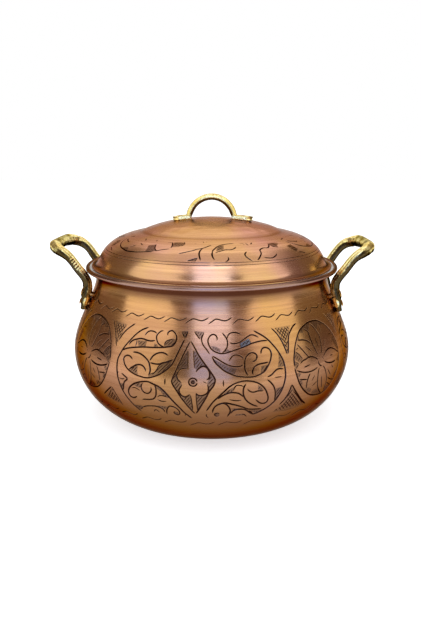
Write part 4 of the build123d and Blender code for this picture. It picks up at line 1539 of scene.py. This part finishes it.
def makeLidHandle():
    shape = archFinish
    verts, normals, faces = evenMesh("lid_handle", shape["voxel"])
    level = verts[:, 2] - lidShape["crown"] - shape["middle"]
    away = np.hypot(verts[:, 0], level)
    onArch = ramp(level, *shape["from"])
    cadRadius, castRadius = shape["radii"]
    room, soft = shape["dark"]
    # painted shade on the arch's underside
    tarnishAndShade = ramp(cadRadius + room - away, 0, soft) * onArch
    # the arch as cast is thicker, most of it inward
    grown = ((castRadius + (away - cadRadius) * shape["stout"]) / away - 1) * onArch
    verts[:, 0] *= 1 + grown
    verts[:, 2] += level * grown
    verts[:, 0] += shape["longer"] * ramp(verts[:, 0], *shape["longerFrom"])
    start, length, dark = shape["footEnd"]
    tarnishAndShade = np.maximum(tarnishAndShade, ramp(np.abs(verts[:, 0]), start, length) * dark)
    # on the feet only the upper faces are lumpy
    upward = ramp(normals[:, 2], *shape["upward"])
    free = np.where(np.abs(verts[:, 0]) > shape["footFrom"], upward, 1.0)
    free *= np.where(verts[:, 2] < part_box("lid_handle")[0][2] / mm + shape["flatBase"], 0, 1)
    frequency, seed, share = shape["lumps"]
    lumps = np.minimum(lumpsAt(verts * frequency, seed) * share, loopFinish["lumpTop"])
    moved = verts + normals * (free * lumps)[:, None]
    piece = makeObject("castArch", moved.tolist(), faces, castBrass, "lid", "lid_handle")
    # the hollow attribute carries the arch's painted shade and its darker feet
    addValues(piece, "hollow", "POINT", np.clip(tarnishAndShade, 0, 1))


makeSideHandle("right", 1)
makeSideHandle("left", -1)
makeLidHandle()
print("brass cast")


# the first word that a node's name holds gives its metal
nodeMaterials = {"rivet": rivetCopper, "handle": castBrass, "tin_lining": wipedTin, "pot_body": potCopper,
                 "lid_shell": lidCopper}
for node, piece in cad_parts.items():
    piece.data.materials.clear()
    piece.data.materials.append(next(nodeMaterials[word] for word in nodeMaterials if word in node))


# Floor, backdrop and light

studio = {
    "floorSize": 6.0,
    "floorColour": (0.8, 0.8, 0.8),
    "room": (0.22, 0.155, 0.105),
    "ceiling": (0.80, 0.70, 0.62),
    "ceilingFrom": (0.60, 0.88),                # of the view's upward part
    "backdropFrom": (0.62, 0.92),               # of the view's part away from the camera
    "roomLight": 0.55,
    "floorGlow": (0.20, 0.60, 0.60, 0.85),      # near and far, in metres, and the glow there
    "mirrored": 0.72,           # how much of the floor's glow the metal sees
    "aim": (0, 0, 0.09),
    # place, size, power and colour of each soft panel
    "lamps": {
        "topLamp": ((0.00, 0.75, 1.10), (1.20, 0.90), 2.5, (0.92, 0.92, 1.0)),
        "leftLamp": ((-1.02, -0.63, 0.62), (1.15, 1.66), 6.0, (0.96, 1.0, 0.86)),
        "rightLamp": ((1.03, -0.62, 0.64), (1.05, 1.70), 5.4, (0.97, 1.0, 0.86)),
        "frontLamp": ((0.02, -1.20, 0.28), (0.62, 0.80), 3.3, (0.25, 0.42, 1.0)),
        "highLamp": ((0.04, -0.85, 1.00), (0.64, 0.80), 3.3, (0.66, 0.80, 1.0)),
    },
}


def makeFloor():
    size = studio["floorSize"]
    data = bpy.data.meshes.new("floor")
    corners = [(-size, -size, 0), (size, -size, 0), (size, size, 0), (-size, size, 0)]
    data.from_pydata(corners, [], [(0, 1, 2, 3)])
    floor = bpy.data.objects.new("floor", data)
    bpy.context.scene.collection.objects.link(floor)
    material = bpy.data.materials.new("paleFloor")
    tree = clearTree(material)
    rays = addNode(tree, "LightPath").outputs
    mirrored = mathNode(tree, "MULTIPLY", rays["Is Glossy Ray"], studio["mirrored"])
    seen = mathNode(tree, "MAXIMUM", rays["Is Camera Ray"], mirrored)
    seen = mathNode(tree, "MAXIMUM", seen, rays["Is Transmission Ray"])
    # the floor runs up to white away from the pot, so that only its shadow is grey
    away = rangeNode(tree, axisPlaces(tree)["reach"], *studio["floorGlow"])
    diffuse = addNode(tree, "BsdfDiffuse", {"Color": studio["floorColour"]})
    glow = addNode(tree, "Emission", {"Strength": mathNode(tree, "MULTIPLY", seen, away)})
    both = addNode(tree, "AddShader", {0: diffuse.outputs[0], 1: glow.outputs[0]})
    addNode(tree, "OutputMaterial", {0: both.outputs[0]})
    data.materials.append(material)


def makeWorld():
    world = bpy.data.worlds.new("studio")
    bpy.context.scene.world = world
    tree = clearTree(world)
    rays = addNode(tree, "LightPath").outputs
    camera = rays["Is Camera Ray"]
    seen = mathNode(tree, "MAXIMUM", camera, rays["Is Glossy Ray"])
    seen = mathNode(tree, "MAXIMUM", seen, rays["Is Transmission Ray"])
    # the backdrop is white; the rest of the room, which only the metal shows, is dim and warm
    way = addNode(tree, "SeparateXYZ", {0: addNode(tree, "TexCoord").outputs["Generated"]}).outputs
    backdrop = rangeNode(tree, way[1], *studio["backdropFrom"])
    white = mathNode(tree, "MAXIMUM", backdrop, mathNode(tree, "SUBTRACT", 1.0, seen))
    white = mathNode(tree, "MAXIMUM", white, camera)
    above = rangeNode(tree, way[2], *studio["ceilingFrom"])
    room = mixColour(tree, above, studio["room"], studio["ceiling"])
    background = addNode(tree, "Background", {
        "Color": mixColour(tree, white, room, (1.0, 1.0, 1.0)),
        "Strength": rangeNode(tree, seen, 0, 1, studio["roomLight"], 1.0),
    })
    addNode(tree, "OutputWorld", {0: background.outputs[0]})


def addLamp(name, place, size, power, colour):
    data = bpy.data.lights.new(name, "AREA")
    data.shape = "RECTANGLE"
    data.size, data.size_y = size
    data.energy = power
    data.color = colour
    lamp = bpy.data.objects.new(name, data)
    lamp.location = place
    lamp.rotation_euler = (Vector(studio["aim"]) - Vector(place)).to_track_quat("-Z", "Y").to_euler()
    bpy.context.scene.collection.objects.link(lamp)


makeFloor()
makeWorld()
for name, lamp in studio["lamps"].items():
    addLamp(name, *lamp)
bpy.context.scene.view_settings.view_transform = "Standard"
print("stage set")
